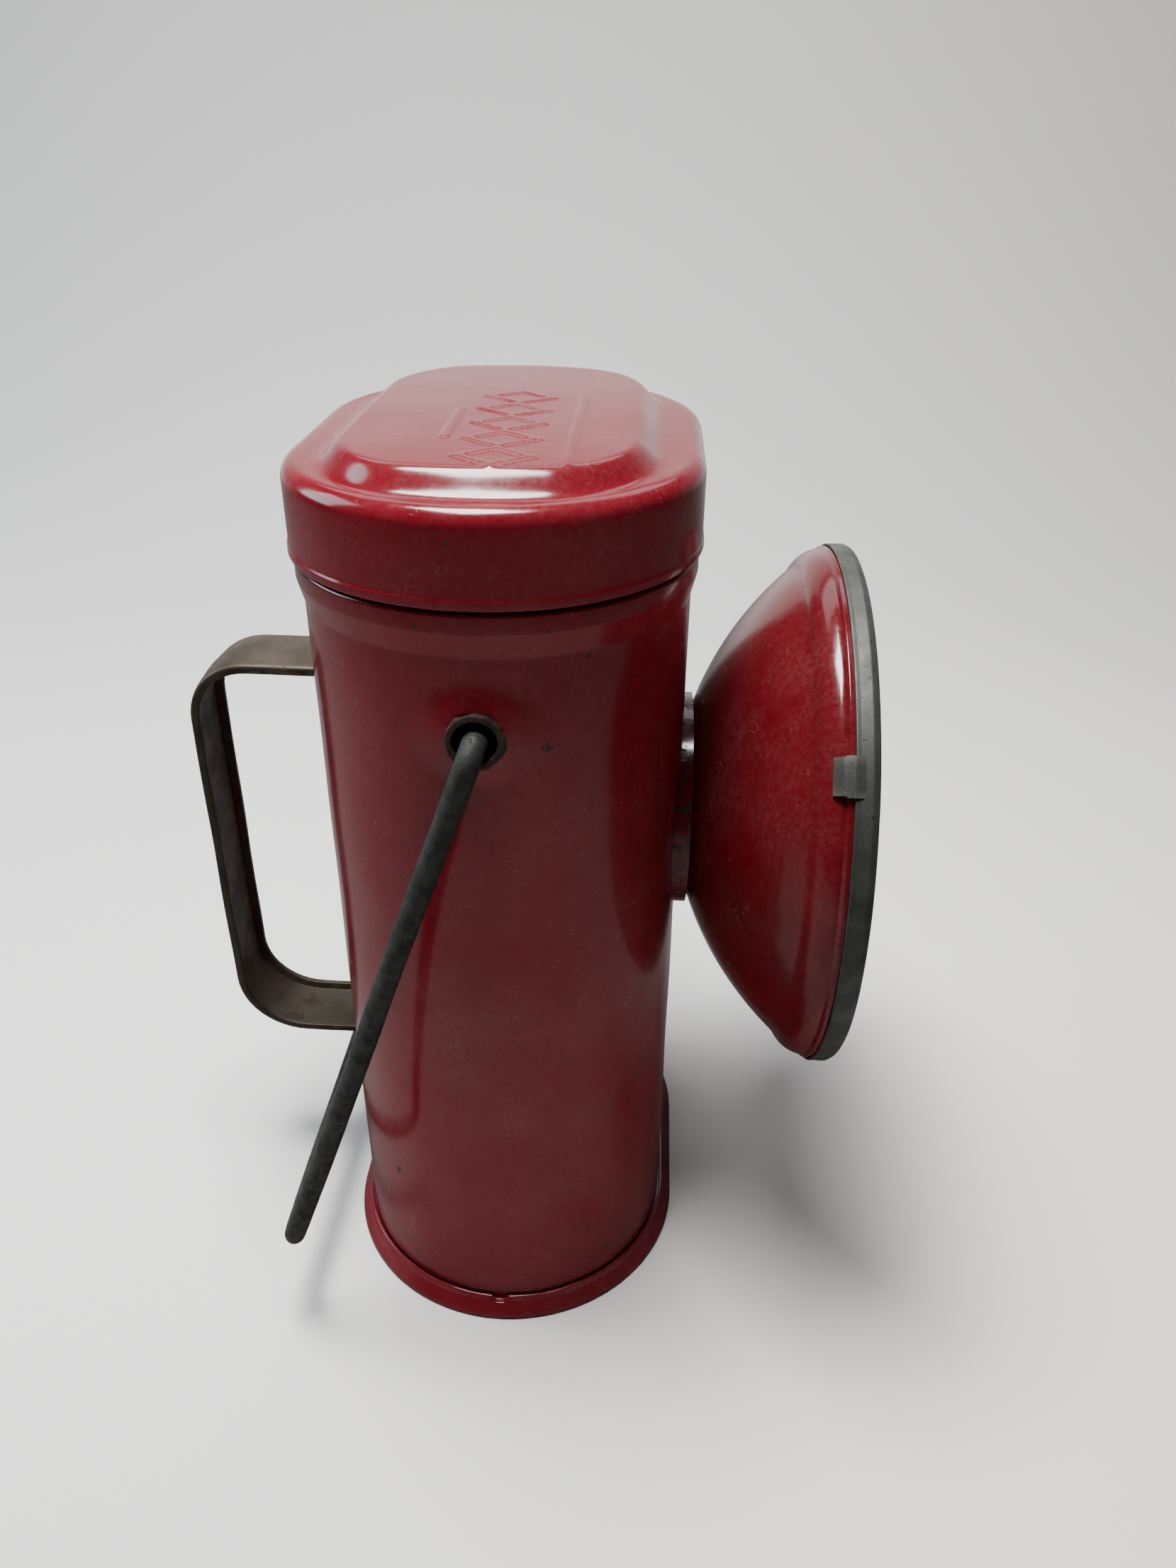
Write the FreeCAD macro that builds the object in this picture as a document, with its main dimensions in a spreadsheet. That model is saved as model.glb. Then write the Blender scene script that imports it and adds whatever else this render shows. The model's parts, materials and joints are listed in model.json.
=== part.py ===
import FreeCAD, Part
import math
import os
import Sketcher

# A pressed-steel battery hand lantern. Millimetres, +Z up, origin at the middle of the foot's underside.
# The lamp head looks along +X, the carrying strap is on the -X side and the bail pivots on the two
# narrow ends, at -Y and +Y. The case is a stadium in plan: two flat sides joined by half-round ends.

SIZES = [
    ("half_width", 35.5, "case, outer half width along X"),
    ("straight_half", 14.5, "half the length of each flat side of the case"),
    ("mouth_z", 182.2, "height of the case's open mouth"),
    ("wall", 0.8, "case sheet"),
    ("foot_overhang", 3.25, "how far the foot flares past the case"),
    ("foot_z", 5.05, "height of the foot's lip"),
    ("foot_band", 1.2, "upright band at the bottom of the foot"),
    ("foot_lip", 0.9, "thickness of the lip round the case"),
    ("foot_recess", 2.5, "hollow under the floor"),
    ("foot_rim", 1.5, "width of the rim that the lantern stands on"),
    ("floor_sheet", 0.8, "floor sheet"),
    ("notch_width", 3.0, "notch in the foot's lip"),
    ("notch_low", 0.4, "bottom of that notch, above the floor"),
    ("lid_overhang", 1.7, "lid, outside the case"),
    ("lid_wall", 0.7, "lid sheet"),
    ("lid_depth", 16.0, "lid, from the hem to the rim"),
    ("lid_shoulder", 3.2, "radius of the lid's shoulder"),
    ("lid_headroom", 3.3, "lid's underside above the mouth"),
    ("hem_proud", 0.25, "hem, outside the skirt"),
    ("hem_depth", 1.3, "height of the hem"),
    ("liner_sheet", 0.8, "lid liner"),
    ("liner_edge_gap", 0.5, "lid liner inside the shoulder"),
    ("table_inset", 12.2, "top edge of the raised table, inside the lid's side"),
    ("table_end_inset", 9.7, "top edge of the raised table, inside the lid's end"),
    ("table_rise", 3.6, "height of the raised table"),
    ("table_run", 4.6, "width of the slope round the table"),
    ("table_corner", 14.0, "corner radius of the table"),
    ("table_end", 70.0, "radius of the table's bowed ends"),
    ("bead_proud", 1.1, "bead under the lid, outside the case"),
    ("bead_face", 3.4, "upright face of the bead"),
    ("bead_slope", 4.4, "slope under the bead"),
    ("bead_gap", 0.8, "gap between the bead and the lid"),
    ("mouth_roll", 0.6, "rolled mouth, outside the case"),
    ("mouth_roll_depth", 1.6, "height of the rolled mouth"),
    ("bail_fall", 34.9, "bail's pivot, under the mouth"),
    ("boss_radius", 10.5, "pressed boss round the pivot"),
    ("boss_proud", 2.0, "height of the boss outside the end"),
    ("boss_root", 2.6, "depth of the boss's edge inside the end"),
    ("bail_hole", 5.0, "radius of the hole in the boss"),
    ("eyelet_gap", 0.05, "eyelet in its hole"),
    ("eyelet_wall", 1.3, "eyelet, radial thickness"),
    ("eyelet_flange", 2.3, "width of the eyelet's inner flange"),
    ("eyelet_seat", 0.95, "eyelet's flange, inside the case's end"),
    ("eyelet_sheet", 0.8, "thickness of that flange"),
    ("rod_radius", 2.2, "bail wire"),
    ("bail_offset", 4.9, "bail leg, outside the case's end"),
    ("bail_bend", 3.6, "bend at the pivot, on the wire's centre line"),
    ("bail_corner", 6.0, "bend at the crossbar, on the wire's centre line"),
    ("bail_swing_gap", 10.7, "crossbar outside the strap's lower corner"),
    ("bail_rest_gap", 6.9, "crossbar off the case at rest"),
    ("retainer_radius", 5.4, "washer on the wire's inner end"),
    ("retainer_sheet", 1.0, "thickness of that washer"),
    ("bail_play", 0.45, "end play of the bail"),
    ("rod_tail", 1.2, "wire past the washer"),
    ("strap_width", 17.0, "carrying strap, along Y"),
    ("strap_sheet", 1.1, "strap sheet"),
    ("strap_lip", 2.4, "depth of the strap's rolled edges"),
    ("strap_edge", 1.5, "width of each rolled edge"),
    ("strap_fall", 41.8, "upper face of the strap, under the mouth"),
    ("strap_bottom_z", 42.7, "lower face of the strap"),
    ("strap_reach", 31.6, "strap, outside the case"),
    ("strap_top_bend", 13.5, "upper outer bend"),
    ("strap_low_bend", 16.0, "lower outer bend"),
    ("strap_foot", 14.0, "length of each foot against the case"),
    ("strap_rivet_inset", 3.9, "strap rivets, from each end of a foot"),
    ("rivet_radius", 1.6, "rivet shank"),
    ("rivet_head", 2.7, "rivet head"),
    ("rivet_rise", 0.9, "height of a rivet head"),
    ("rivet_gap", 0.05, "rivet in its hole"),
    ("head_z", 108.1, "height of the lamp head's axis"),
    ("collar_radius", 22.8, "collar between the case and the bowl"),
    ("collar_depth", 2.5, "collar, outside the case"),
    ("collar_seat", 2.5, "how deep the saddle of the collar reaches round the case"),
    ("bowl_wall", 0.8, "bowl sheet"),
    ("bowl_foot", 20.5, "radius of the bowl's flat back"),
    ("bowl_bulge", 70.0, "radius of the bowl's flank"),
    ("bowl_step", 4.1, "height of the step from the flank up to the rim"),
    ("bowl_shoulder_x", 22.2, "that place, from the case"),
    ("bowl_rim", 54.0, "radius of the bowl's rim"),
    ("bowl_rim_band", 1.8, "straight band at the rim"),
    ("bowl_rim_bulge", 11.0, "radius of the step up to the rim"),
    ("bowl_depth", 29.2, "bowl's rim, from the case"),
    ("mirror_sheet", 0.5, "reflector sheet"),
    ("mirror_flange", 3.9, "width of the reflector's flange, inside the bowl's rim"),
    ("mirror_hole", 8.6, "radius of the hole for the lamp"),
    ("mirror_back_x", 7.0, "back of the reflector, from the case"),
    ("mirror_curve", 62.0, "radius of the reflector's curve"),
    ("gasket_sheet", 0.8, "gasket under the glass"),
    ("gasket_inset", 3.2, "width of the gasket"),
    ("glass_gap", 0.75, "glass inside the bezel"),
    ("glass_depth", 2.0, "glass at its edge"),
    ("glass_border", 3.2, "flat border of the glass, under the bezel's lip"),
    ("glass_crown", 3.0, "how far the glass bows out in the middle"),
    ("bezel_gap", 0.3, "bezel outside the bowl's rim"),
    ("bezel_sheet", 0.7, "bezel sheet"),
    ("bezel_lip", 3.4, "bezel's lip over the glass"),
    ("bezel_round", 1.4, "rounding of the bezel's front edge"),
    ("tab_width", 7.6, "clip tab, along the rim"),
    ("tab_reach", 4.1, "clip tab, behind the bezel"),
    ("tab_tuck", 1.2, "how far the tab's end is bent in"),
    ("tab_turn", 35.0, "near tab, degrees above the head's axis"),
    ("lamp_screw", 4.6, "radius of the lamp's screw base"),
    ("lamp_screw_depth", 8.5, "length of the screw base"),
    ("lamp_tip", 1.8, "radius of the lamp's centre contact"),
    ("lamp_tip_depth", 1.0, "height of the centre contact"),
    ("lamp_glass", 7.5, "radius of the lamp's globe"),
    ("lamp_neck", 4.1, "radius of the lamp's neck"),
    ("lamp_glass_sheet", 0.6, "lamp glass"),
    ("lamp_neck_depth", 4.0, "neck inside the screw base"),
    ("lamp_stem", 15.0, "globe's centre, from the base's bottom"),
    ("filament_wire", 0.3, "radius of the filament and its supports"),
    ("filament_gap", 1.8, "supports, off the lamp's axis"),
    ("socket_gap", 0.1, "lamp's screw in its socket"),
    ("socket_sheet", 0.6, "socket sheet"),
    ("socket_flange", 9.0, "radius of the socket's flange"),
    ("socket_depth", 8.7, "length of the socket"),
    ("bush_radius", 6.0, "insulating bush through the case"),
    ("bush_gap", 0.05, "bush in its hole"),
    ("pin_radius", 1.55, "centre contact pin"),
    ("pin_gap", 0.05, "pin in the bush"),
    ("head_rivet_place", 10.6, "head rivets, off the axis along Y and along Z"),
    ("board_sheet", 0.6, "insulating board"),
    ("board_half", 6.0, "half width of the lamp board"),
    ("lead_sheet", 0.45, "brass strip"),
    ("lead_half", 3.0, "half width of a brass strip"),
    ("lead_tail", 5.0, "lamp strip below the pin"),
    ("cell_gap", 1.35, "dry cell inside the case"),
    ("cell_end_gap", 5.85, "dry cell, off the case's far end"),
    ("cell_headroom", 26.9, "mouth above the top of the cell's jacket"),
    ("jacket_sheet", 0.9, "cardboard jacket"),
    ("jacket_lip", 3.0, "jacket above the zinc can"),
    ("can_sheet", 0.5, "zinc can"),
    ("seal_sheet", 2.2, "pitch seal"),
    ("carbon_radius", 12.5, "carbon rod"),
    ("carbon_rise", 1.6, "carbon rod above the seal"),
    ("carbon_start", 20.0, "bottom of the carbon rod above the floor"),
    ("cap_radius", 7.0, "brass cap on the carbon rod"),
    ("cap_depth", 2.0, "height of that cap"),
    ("post_radius", 2.0, "terminal stud"),
    ("post_rise", 9.5, "terminal stud above its seat"),
    ("nut_radius", 4.6, "terminal nut"),
    ("nut_depth", 4.0, "height of a terminal nut"),
    ("zinc_post_place", 24.0, "zinc terminal, off the cell's axis"),
    ("zinc_foot", 3.8, "radius of the zinc terminal's foot"),
    ("zinc_foot_depth", 1.4, "height of the zinc terminal's foot"),
    ("spacer_gap", 0.4, "packing block, off the case and the cell"),
    ("spacer_top", 60.0, "height of the packing block"),
    ("spacer_edge", 17.0, "packing block, from the middle of the case"),
    ("switch_fall", 16.0, "middle of the switch slot, under the strap's upper foot"),
    ("slot_half_width", 1.6, "switch slot"),
    ("slot_half_height", 6.6, "switch slot"),
    ("stem_gap", 0.4, "switch stem in its slot"),
    ("stem_half_height", 2.6, "switch stem"),
    ("switch_travel", 6.8, "travel of the switch"),
    ("plate_half_width", 7.0, "switch plate"),
    ("plate_half_height", 13.0, "switch plate"),
    ("plate_sheet", 0.8, "switch plate"),
    ("knob_half_width", 4.2, "switch knob"),
    ("knob_half_height", 3.6, "switch knob"),
    ("knob_depth", 3.6, "switch knob"),
    ("slide_gap", 0.35, "clearance of the sliding parts"),
    ("bridge_sheet", 0.4, "bridging contact"),
    ("bridge_half_height", 6.0, "bridging contact"),
    ("bridge_half_width", 2.4, "bridging contact"),
    ("switch_pin", 1.1, "switch plate rivet"),
    ("switch_pin_z", 10.8, "switch plate rivets, above and below the middle of the slot"),
    ("switch_pin_y", 5.0, "switch plate rivets, to each side"),
    ("switch_pin_head", 1.6, "switch plate rivet head"),
    ("switch_pin_rise", 0.6, "height of that head"),
    ("pad_low", 7.0, "switch strip's contact pad, above the middle of the slot"),
    ("pad_depth", 7.2, "height of that pad"),
    ("pad_half_width", 2.2, "half width of that pad"),
    ("riser_y", 8.8, "middle of the switch strip's riser, along Y"),
    ("riser_half", 1.5, "half width of that riser"),
    ("eye_half", 4.0, "half width of a strip's end round a terminal"),
    ("board_margin", 2.0, "insulating board past its strip"),
]

FULL_TURN = 360
QUARTER_TURN = 90

# The bowl's inner face, from its outer face, in shares of the sheet along X and across it.
BOWL_SHOULDER_FORWARD = 0.9
BOWL_SHOULDER_INWARD = 0.5
BOWL_FOOT_INWARD = 0.2


class Size:
    """A number, with the sheet expression that it comes from."""

    def __init__(self, value, text):
        self.value = value
        self.text = text

    def _with(self, other, sign, value):
        other_text = other.text if isinstance(other, Size) else repr(float(other))
        return Size(value, "(%s %s %s)" % (self.text, sign, other_text))

    def __add__(self, other):
        return self._with(other, "+", self.value + number(other))

    def __sub__(self, other):
        return self._with(other, "-", self.value - number(other))

    def __mul__(self, other):
        return self._with(other, "*", self.value * number(other))

    def __truediv__(self, other):
        return self._with(other, "/", self.value / number(other))

    def __neg__(self):
        return Size(-self.value, "(-1.0 * %s)" % self.text)


def number(thing):
    """The plain value of a size or a number."""
    return thing.value if isinstance(thing, Size) else float(thing)


def fixed(value):
    """A constant written as a size, such as zero."""
    return Size(float(value), repr(float(value)))


def root(thing):
    """Square root of a size."""
    return Size(math.sqrt(thing.value), "sqrt(%s)" % thing.text)


def slope_angle(run, rise):
    """Angle from upright, in degrees, of a slope with this run and rise."""
    angle = math.degrees(math.atan(run.value / rise.value))
    return Size(angle, "atan(%s / %s)" % (run.text, rise.text))


def lean_angle(side, length):
    """Angle from straight down, in degrees, of a leg whose end is this far to one side."""
    angle = math.degrees(math.asin(side.value / length.value))
    return Size(angle, "asin(%s / %s)" % (side.text, length.text))


class Sheet:
    """The spreadsheet of driving sizes, read by alias."""

    def __init__(self, document, rows):
        self.sizes = {}
        sheet = document.addObject("Spreadsheet::Sheet", "Dimensions")
        for row, (alias, value, meaning) in enumerate(rows, start=1):
            sheet.set("A%d" % row, alias)
            sheet.set("B%d" % row, repr(float(value)))
            sheet.set("C%d" % row, meaning)
            sheet.setAlias("B%d" % row, alias)
            self.sizes[alias] = Size(float(value), "Dimensions." + alias)

    def __getattr__(self, alias):
        return self.sizes[alias]


doc = FreeCAD.newDocument("HandLantern")
s = Sheet(doc, SIZES)
doc.recompute()
ZERO = fixed(0)
parts = []


def keep(piece):
    """Lists a finished sub-part for export."""
    parts.append(piece)
    return piece


# ---------------------------------------------------------------- sketches and features


def bind(thing, path, size):
    """Ties one property to the sheet."""
    thing.setExpression(path, size.text)


def place(thing, x=ZERO, y=ZERO, z=ZERO):
    """Ties an object's position to the sheet."""
    for axis, size in (("x", x), ("y", y), ("z", z)):
        bind(thing, "Placement.Base." + axis, size)


def new_body(label, x=ZERO, y=ZERO, z=ZERO):
    """A PartDesign body at a place given by sizes."""
    body = doc.addObject("PartDesign::Body", label)
    body.Label = label
    place(body, x, y, z)
    return body


def new_sketch(body, name, plane, offset=ZERO):
    """A sketch on one of the body's own origin planes, moved along that plane's normal."""
    sketch = body.newObject("Sketcher::SketchObject", name)
    chosen = [feature for feature in body.Origin.OriginFeatures if feature.Role == plane]
    sketch.AttachmentSupport = [(chosen[0], "")]
    sketch.MapMode = "FlatFace"
    bind(sketch, "AttachmentOffset.Base.z", offset)
    return sketch


def tie(sketch, kind, places, size):
    """A driving constraint tied to the sheet."""
    index = sketch.addConstraint(Sketcher.Constraint(kind, *places, size.value))
    sketch.setExpression("Constraints[%d]" % index, size.text)


def pin(sketch, item, end, x, y):
    """Fixes one end of a sketch line or arc at (x, y)."""
    tie(sketch, "DistanceX", (-1, 1, item, end), x)
    tie(sketch, "DistanceY", (-1, 1, item, end), y)


def arc_centre(start, end, radius, left):
    """Centre of the short arc from start to end, on the left or right of the way along it."""
    middle = (start + end) * 0.5
    chord = end - start
    rise = math.sqrt(radius * radius - chord.Length * chord.Length / 4)
    normal = FreeCAD.Vector(-chord.y, chord.x, 0).normalize()
    return middle + normal * (rise if left else -rise)


def arc_between(circle, first, last):
    """Arc of a circle, counter-clockwise from one point to another."""
    centre = circle.Center
    angles = [math.atan2(point.y - centre.y, point.x - centre.x) for point in (first, last)]
    if angles[1] < angles[0]:
        angles[1] += 2 * math.pi
    return Part.ArcOfCircle(circle, angles[0], angles[1])


def outline(sketch, corners):
    """Closed outline. A corner is (x, y), or (x, y, radius, side) where an arc runs on from it."""
    points = [FreeCAD.Vector(number(corner[0]), number(corner[1]), 0) for corner in corners]
    ends = []
    for place_now, corner in enumerate(corners):
        start = points[place_now]
        end = points[(place_now + 1) % len(corners)]
        if len(corner) == 2:
            item = sketch.addGeometry(Part.LineSegment(start, end), False)
            ends.append((item, 1, 2))
            continue
        left = corner[3] == "left"
        centre = arc_centre(start, end, corner[2].value, left)
        circle = Part.Circle(centre, FreeCAD.Vector(0, 0, 1), corner[2].value)
        first = start if left else end
        last = end if left else start
        item = sketch.addGeometry(arc_between(circle, first, last), False)
        ends.append((item, 1, 2) if left else (item, 2, 1))
    for place_now, corner in enumerate(corners):
        item, first, last = ends[place_now]
        after = ends[(place_now + 1) % len(corners)]
        sketch.addConstraint(Sketcher.Constraint("Coincident", item, last, after[0], after[1]))
        pin(sketch, item, first, corner[0], corner[1])
        if len(corner) > 2:
            tie(sketch, "Radius", (item,), corner[2])


def rectangle(sketch, low_x, low_y, high_x, high_y):
    """Upright rectangle between two corners."""
    outline(sketch, [(low_x, low_y), (high_x, low_y), (high_x, high_y), (low_x, high_y)])


def circle(sketch, x, y, radius):
    """Full circle."""
    centre = FreeCAD.Vector(number(x), number(y), 0)
    shape = Part.Circle(centre, FreeCAD.Vector(0, 0, 1), radius.value)
    item = sketch.addGeometry(shape, False)
    pin(sketch, item, 3, x, y)
    tie(sketch, "Radius", (item,), radius)


def half_turn_arc(sketch, centre_y, radius, upper):
    """Half circle that closes one end of a stadium."""
    start = 0.0 if upper else math.pi
    centre = FreeCAD.Vector(0, centre_y.value, 0)
    shape = Part.Circle(centre, FreeCAD.Vector(0, 0, 1), radius.value)
    item = sketch.addGeometry(Part.ArcOfCircle(shape, start, start + math.pi), False)
    sketch.addConstraint(Sketcher.Constraint("PointOnObject", item, 3, -2))
    tie(sketch, "DistanceY", (-1, 1, item, 3), centre_y)
    tie(sketch, "Radius", (item,), radius)
    for end in (1, 2):
        sketch.addConstraint(Sketcher.Constraint("Horizontal", item, end, item, 3))
    return item


def stadium(sketch, half_width, half_length):
    """Stadium outline: flat sides along Y, half-round ends."""
    reach = half_length - half_width
    top = half_turn_arc(sketch, reach, half_width, True)
    bottom = half_turn_arc(sketch, -reach, half_width, False)
    for first, last in ((top, bottom), (bottom, top)):
        start = sketch.getPoint(first, 2)
        end = sketch.getPoint(last, 1)
        side = sketch.addGeometry(Part.LineSegment(start, end), False)
        sketch.addConstraint(Sketcher.Constraint("Coincident", side, 1, first, 2))
        sketch.addConstraint(Sketcher.Constraint("Coincident", side, 2, last, 1))


def bowed_panel(sketch, half_width, half_length, corner, bow):
    """Panel outline: straight sides, rounded corners and bowed ends, worked out to be tangent."""
    inner = half_width - corner
    drop = root((bow - corner) * (bow - corner) - inner * inner)
    corner_y = half_length - bow + drop
    join_x = inner * (bow / (bow - corner))
    join_y = half_length - bow + drop * (bow / (bow - corner))
    outline(sketch, [
        (half_width, -corner_y),
        (half_width, corner_y, corner, "left"),
        (join_x, join_y, bow, "left"),
        (-join_x, join_y, corner, "left"),
        (-half_width, corner_y),
        (-half_width, -corner_y, corner, "left"),
        (-join_x, -join_y, bow, "left"),
        (join_x, -join_y, corner, "left"),
    ])


def pad(body, sketch, length, taper=None, symmetric=False):
    """Pad along the sketch's normal."""
    feature = body.newObject("PartDesign::Pad", sketch.Name + "Pad")
    feature.Profile = sketch
    bind(feature, "Length", length)
    feature.Midplane = symmetric
    if taper is not None:
        bind(feature, "TaperAngle", taper)
    return feature


def pocket(body, sketch, length, along_normal=False, taper=None, symmetric=False):
    """Pocket against the sketch's normal, or along it."""
    feature = body.newObject("PartDesign::Pocket", sketch.Name + "Pocket")
    feature.Profile = sketch
    bind(feature, "Length", length)
    feature.Reversed = along_normal
    feature.Midplane = symmetric
    if taper is not None:
        bind(feature, "TaperAngle", taper)
    return feature


def turned(body, sketch, axis, kind="Revolution"):
    """Full revolution, or groove, about one of the sketch's own axes."""
    feature = body.newObject("PartDesign::" + kind, sketch.Name + kind)
    feature.Profile = sketch
    feature.ReferenceAxis = (sketch, [axis])
    feature.Angle = FULL_TURN
    return feature


def edges_where(shape, test):
    """Names of the edges whose ends and middle all pass a test."""
    names = []
    for index, edge in enumerate(shape.Edges, start=1):
        first, last = edge.ParameterRange
        samples = [edge.valueAt(first + (last - first) * step / 4) for step in range(5)]
        if all(test(point) for point in samples):
            names.append("Edge%d" % index)
    return names


def fillet(body, name, radius, test):
    """Fillet on the edges of the body's tip that pass a test."""
    doc.recompute()
    base = body.Tip
    feature = body.newObject("PartDesign::Fillet", name)
    feature.Base = (base, edges_where(base.Shape, test))
    bind(feature, "Radius", radius)
    return feature


def close(value, size, tolerance=0.02):
    """Whether a coordinate lies at a size."""
    return abs(value - number(size)) < tolerance


def stadium_offset(point, half_width, half_length):
    """How far a point stands outside the stadium, in plan."""
    reach = number(half_length) - number(half_width)
    along = max(abs(point.y) - reach, 0.0)
    return math.hypot(point.x, along) - number(half_width)


# ---------------------------------------------------------------- primitives

TURN = {
    "X": FreeCAD.Rotation(FreeCAD.Vector(0, 1, 0), QUARTER_TURN),
    "Y": FreeCAD.Rotation(FreeCAD.Vector(1, 0, 0), -QUARTER_TURN),
    "Z": FreeCAD.Rotation(),
}


def cylinder(label, radius, length, axis, x, y, z):
    """Cylinder that runs from (x, y, z) along a positive axis."""
    thing = doc.addObject("Part::Cylinder", label)
    bind(thing, "Radius", radius)
    bind(thing, "Height", length)
    thing.Placement = FreeCAD.Placement(FreeCAD.Vector(), TURN[axis])
    place(thing, x, y, z)
    return thing


def cone(label, start, end, length, axis, x, y, z):
    """Cone from one radius to another."""
    thing = doc.addObject("Part::Cone", label)
    bind(thing, "Radius1", start)
    bind(thing, "Radius2", end)
    bind(thing, "Height", length)
    thing.Placement = FreeCAD.Placement(FreeCAD.Vector(), TURN[axis])
    place(thing, x, y, z)
    return thing


def box(label, low, high):
    """Box between two corners given as sizes."""
    thing = doc.addObject("Part::Box", label)
    for side, start, end in zip(("Length", "Width", "Height"), low, high):
        bind(thing, side, end - start)
    place(thing, *low)
    return thing


def cut(label, base, tool):
    """One shape less another."""
    thing = doc.addObject("Part::Cut", label)
    thing.Label = label
    thing.Base = base
    thing.Tool = tool
    return thing


def fuse(label, shapes):
    """Several shapes as one solid."""
    thing = doc.addObject("Part::MultiFuse", label)
    thing.Label = label
    thing.Shapes = shapes
    thing.Refine = True
    return thing


def group(label, shapes):
    """Several separate solids in one node."""
    thing = doc.addObject("Part::Compound", label)
    thing.Label = label
    thing.Links = shapes
    return thing


def tube(label, outer, inner, length, axis, x, y, z):
    """Plain ring or tube."""
    solid = cylinder(label + "Outer", outer, length, axis, x, y, z)
    bore = cylinder(label + "Bore", inner, length, axis, x, y, z)
    return cut(label, solid, bore)


def rivet(label, start_x, end_x, y, z, shank, head, rise):
    """Rivet along X. The shank runs from start_x to end_x and has a tapered head on each end."""
    crown = head * 0.6
    stem = cylinder(label + "Stem", shank, end_x - start_x, "X", start_x, y, z)
    near = cone(label + "Tail", crown, head, rise, "X", start_x - rise, y, z)
    far = cone(label + "Head", head, crown, rise, "X", end_x, y, z)
    return fuse(label, [stem, near, far])


# ---------------------------------------------------------------- sizes that several pieces share

inner_half_width = s.half_width - s.wall
case_half_length = s.half_width + s.straight_half
inner_half_length = case_half_length - s.wall
floor_z = s.foot_recess + s.floor_sheet
lid_half_width = s.half_width + s.lid_overhang
lid_half_length = case_half_length + s.lid_overhang
lid_rim_z = s.mouth_z + s.lid_headroom + s.lid_wall
liner_z = lid_rim_z - s.lid_wall - s.liner_sheet
lid_bottom_z = lid_rim_z - s.lid_depth
bead_top_z = lid_bottom_z - s.bead_gap
bead_low_z = bead_top_z - s.bead_face - s.bead_slope
bail_z = s.mouth_z - s.bail_fall
strap_top_z = s.mouth_z - s.strap_fall
bowl_shoulder = s.bowl_rim - s.bowl_step
mirror_mouth = s.bowl_rim - s.mirror_flange
bezel_radius = s.bowl_rim + s.bezel_gap + s.bezel_sheet
strap_out = s.half_width + s.strap_reach
corner_side = strap_out - s.strap_low_bend
corner_drop = bail_z - s.strap_bottom_z - s.strap_low_bend
corner_reach = root(corner_side * corner_side + corner_drop * corner_drop) + s.strap_low_bend
bail_drop = corner_reach + s.bail_swing_gap + s.rod_radius
eyelet_back = case_half_length - s.eyelet_seat - s.eyelet_sheet
rivet_hole = s.rivet_radius + s.rivet_gap
switch_pin_hole = s.switch_pin + s.rivet_gap
bush_hole = s.bush_radius + s.bush_gap
top_foot_low_z = strap_top_z - s.strap_lip - s.strap_foot
switch_z = top_foot_low_z - s.switch_fall
low_foot_high_z = s.strap_bottom_z + s.strap_lip + s.strap_foot
strap_rivets = [
    top_foot_low_z + s.strap_rivet_inset,
    top_foot_low_z + s.strap_foot - s.strap_rivet_inset,
    low_foot_high_z - s.strap_rivet_inset,
    low_foot_high_z - s.strap_foot + s.strap_rivet_inset,
]
switch_pins = [
    (s.switch_pin_y * y_side, switch_z + s.switch_pin_z * z_side)
    for y_side in (-1, 1) for z_side in (-1, 1)
]
head_rivets = [
    (s.head_rivet_place * y_side, s.head_rivet_place * z_side)
    for y_side in (-1, 1) for z_side in (-1, 1)
]
cell_radius = inner_half_width - s.cell_gap
cell_y = inner_half_length - cell_radius - s.cell_end_gap
jacket_top_z = s.mouth_z - s.cell_headroom
seal_z = jacket_top_z - s.jacket_lip
seal_top_z = seal_z + s.seal_sheet


# ---------------------------------------------------------------- case, foot and lid


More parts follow.
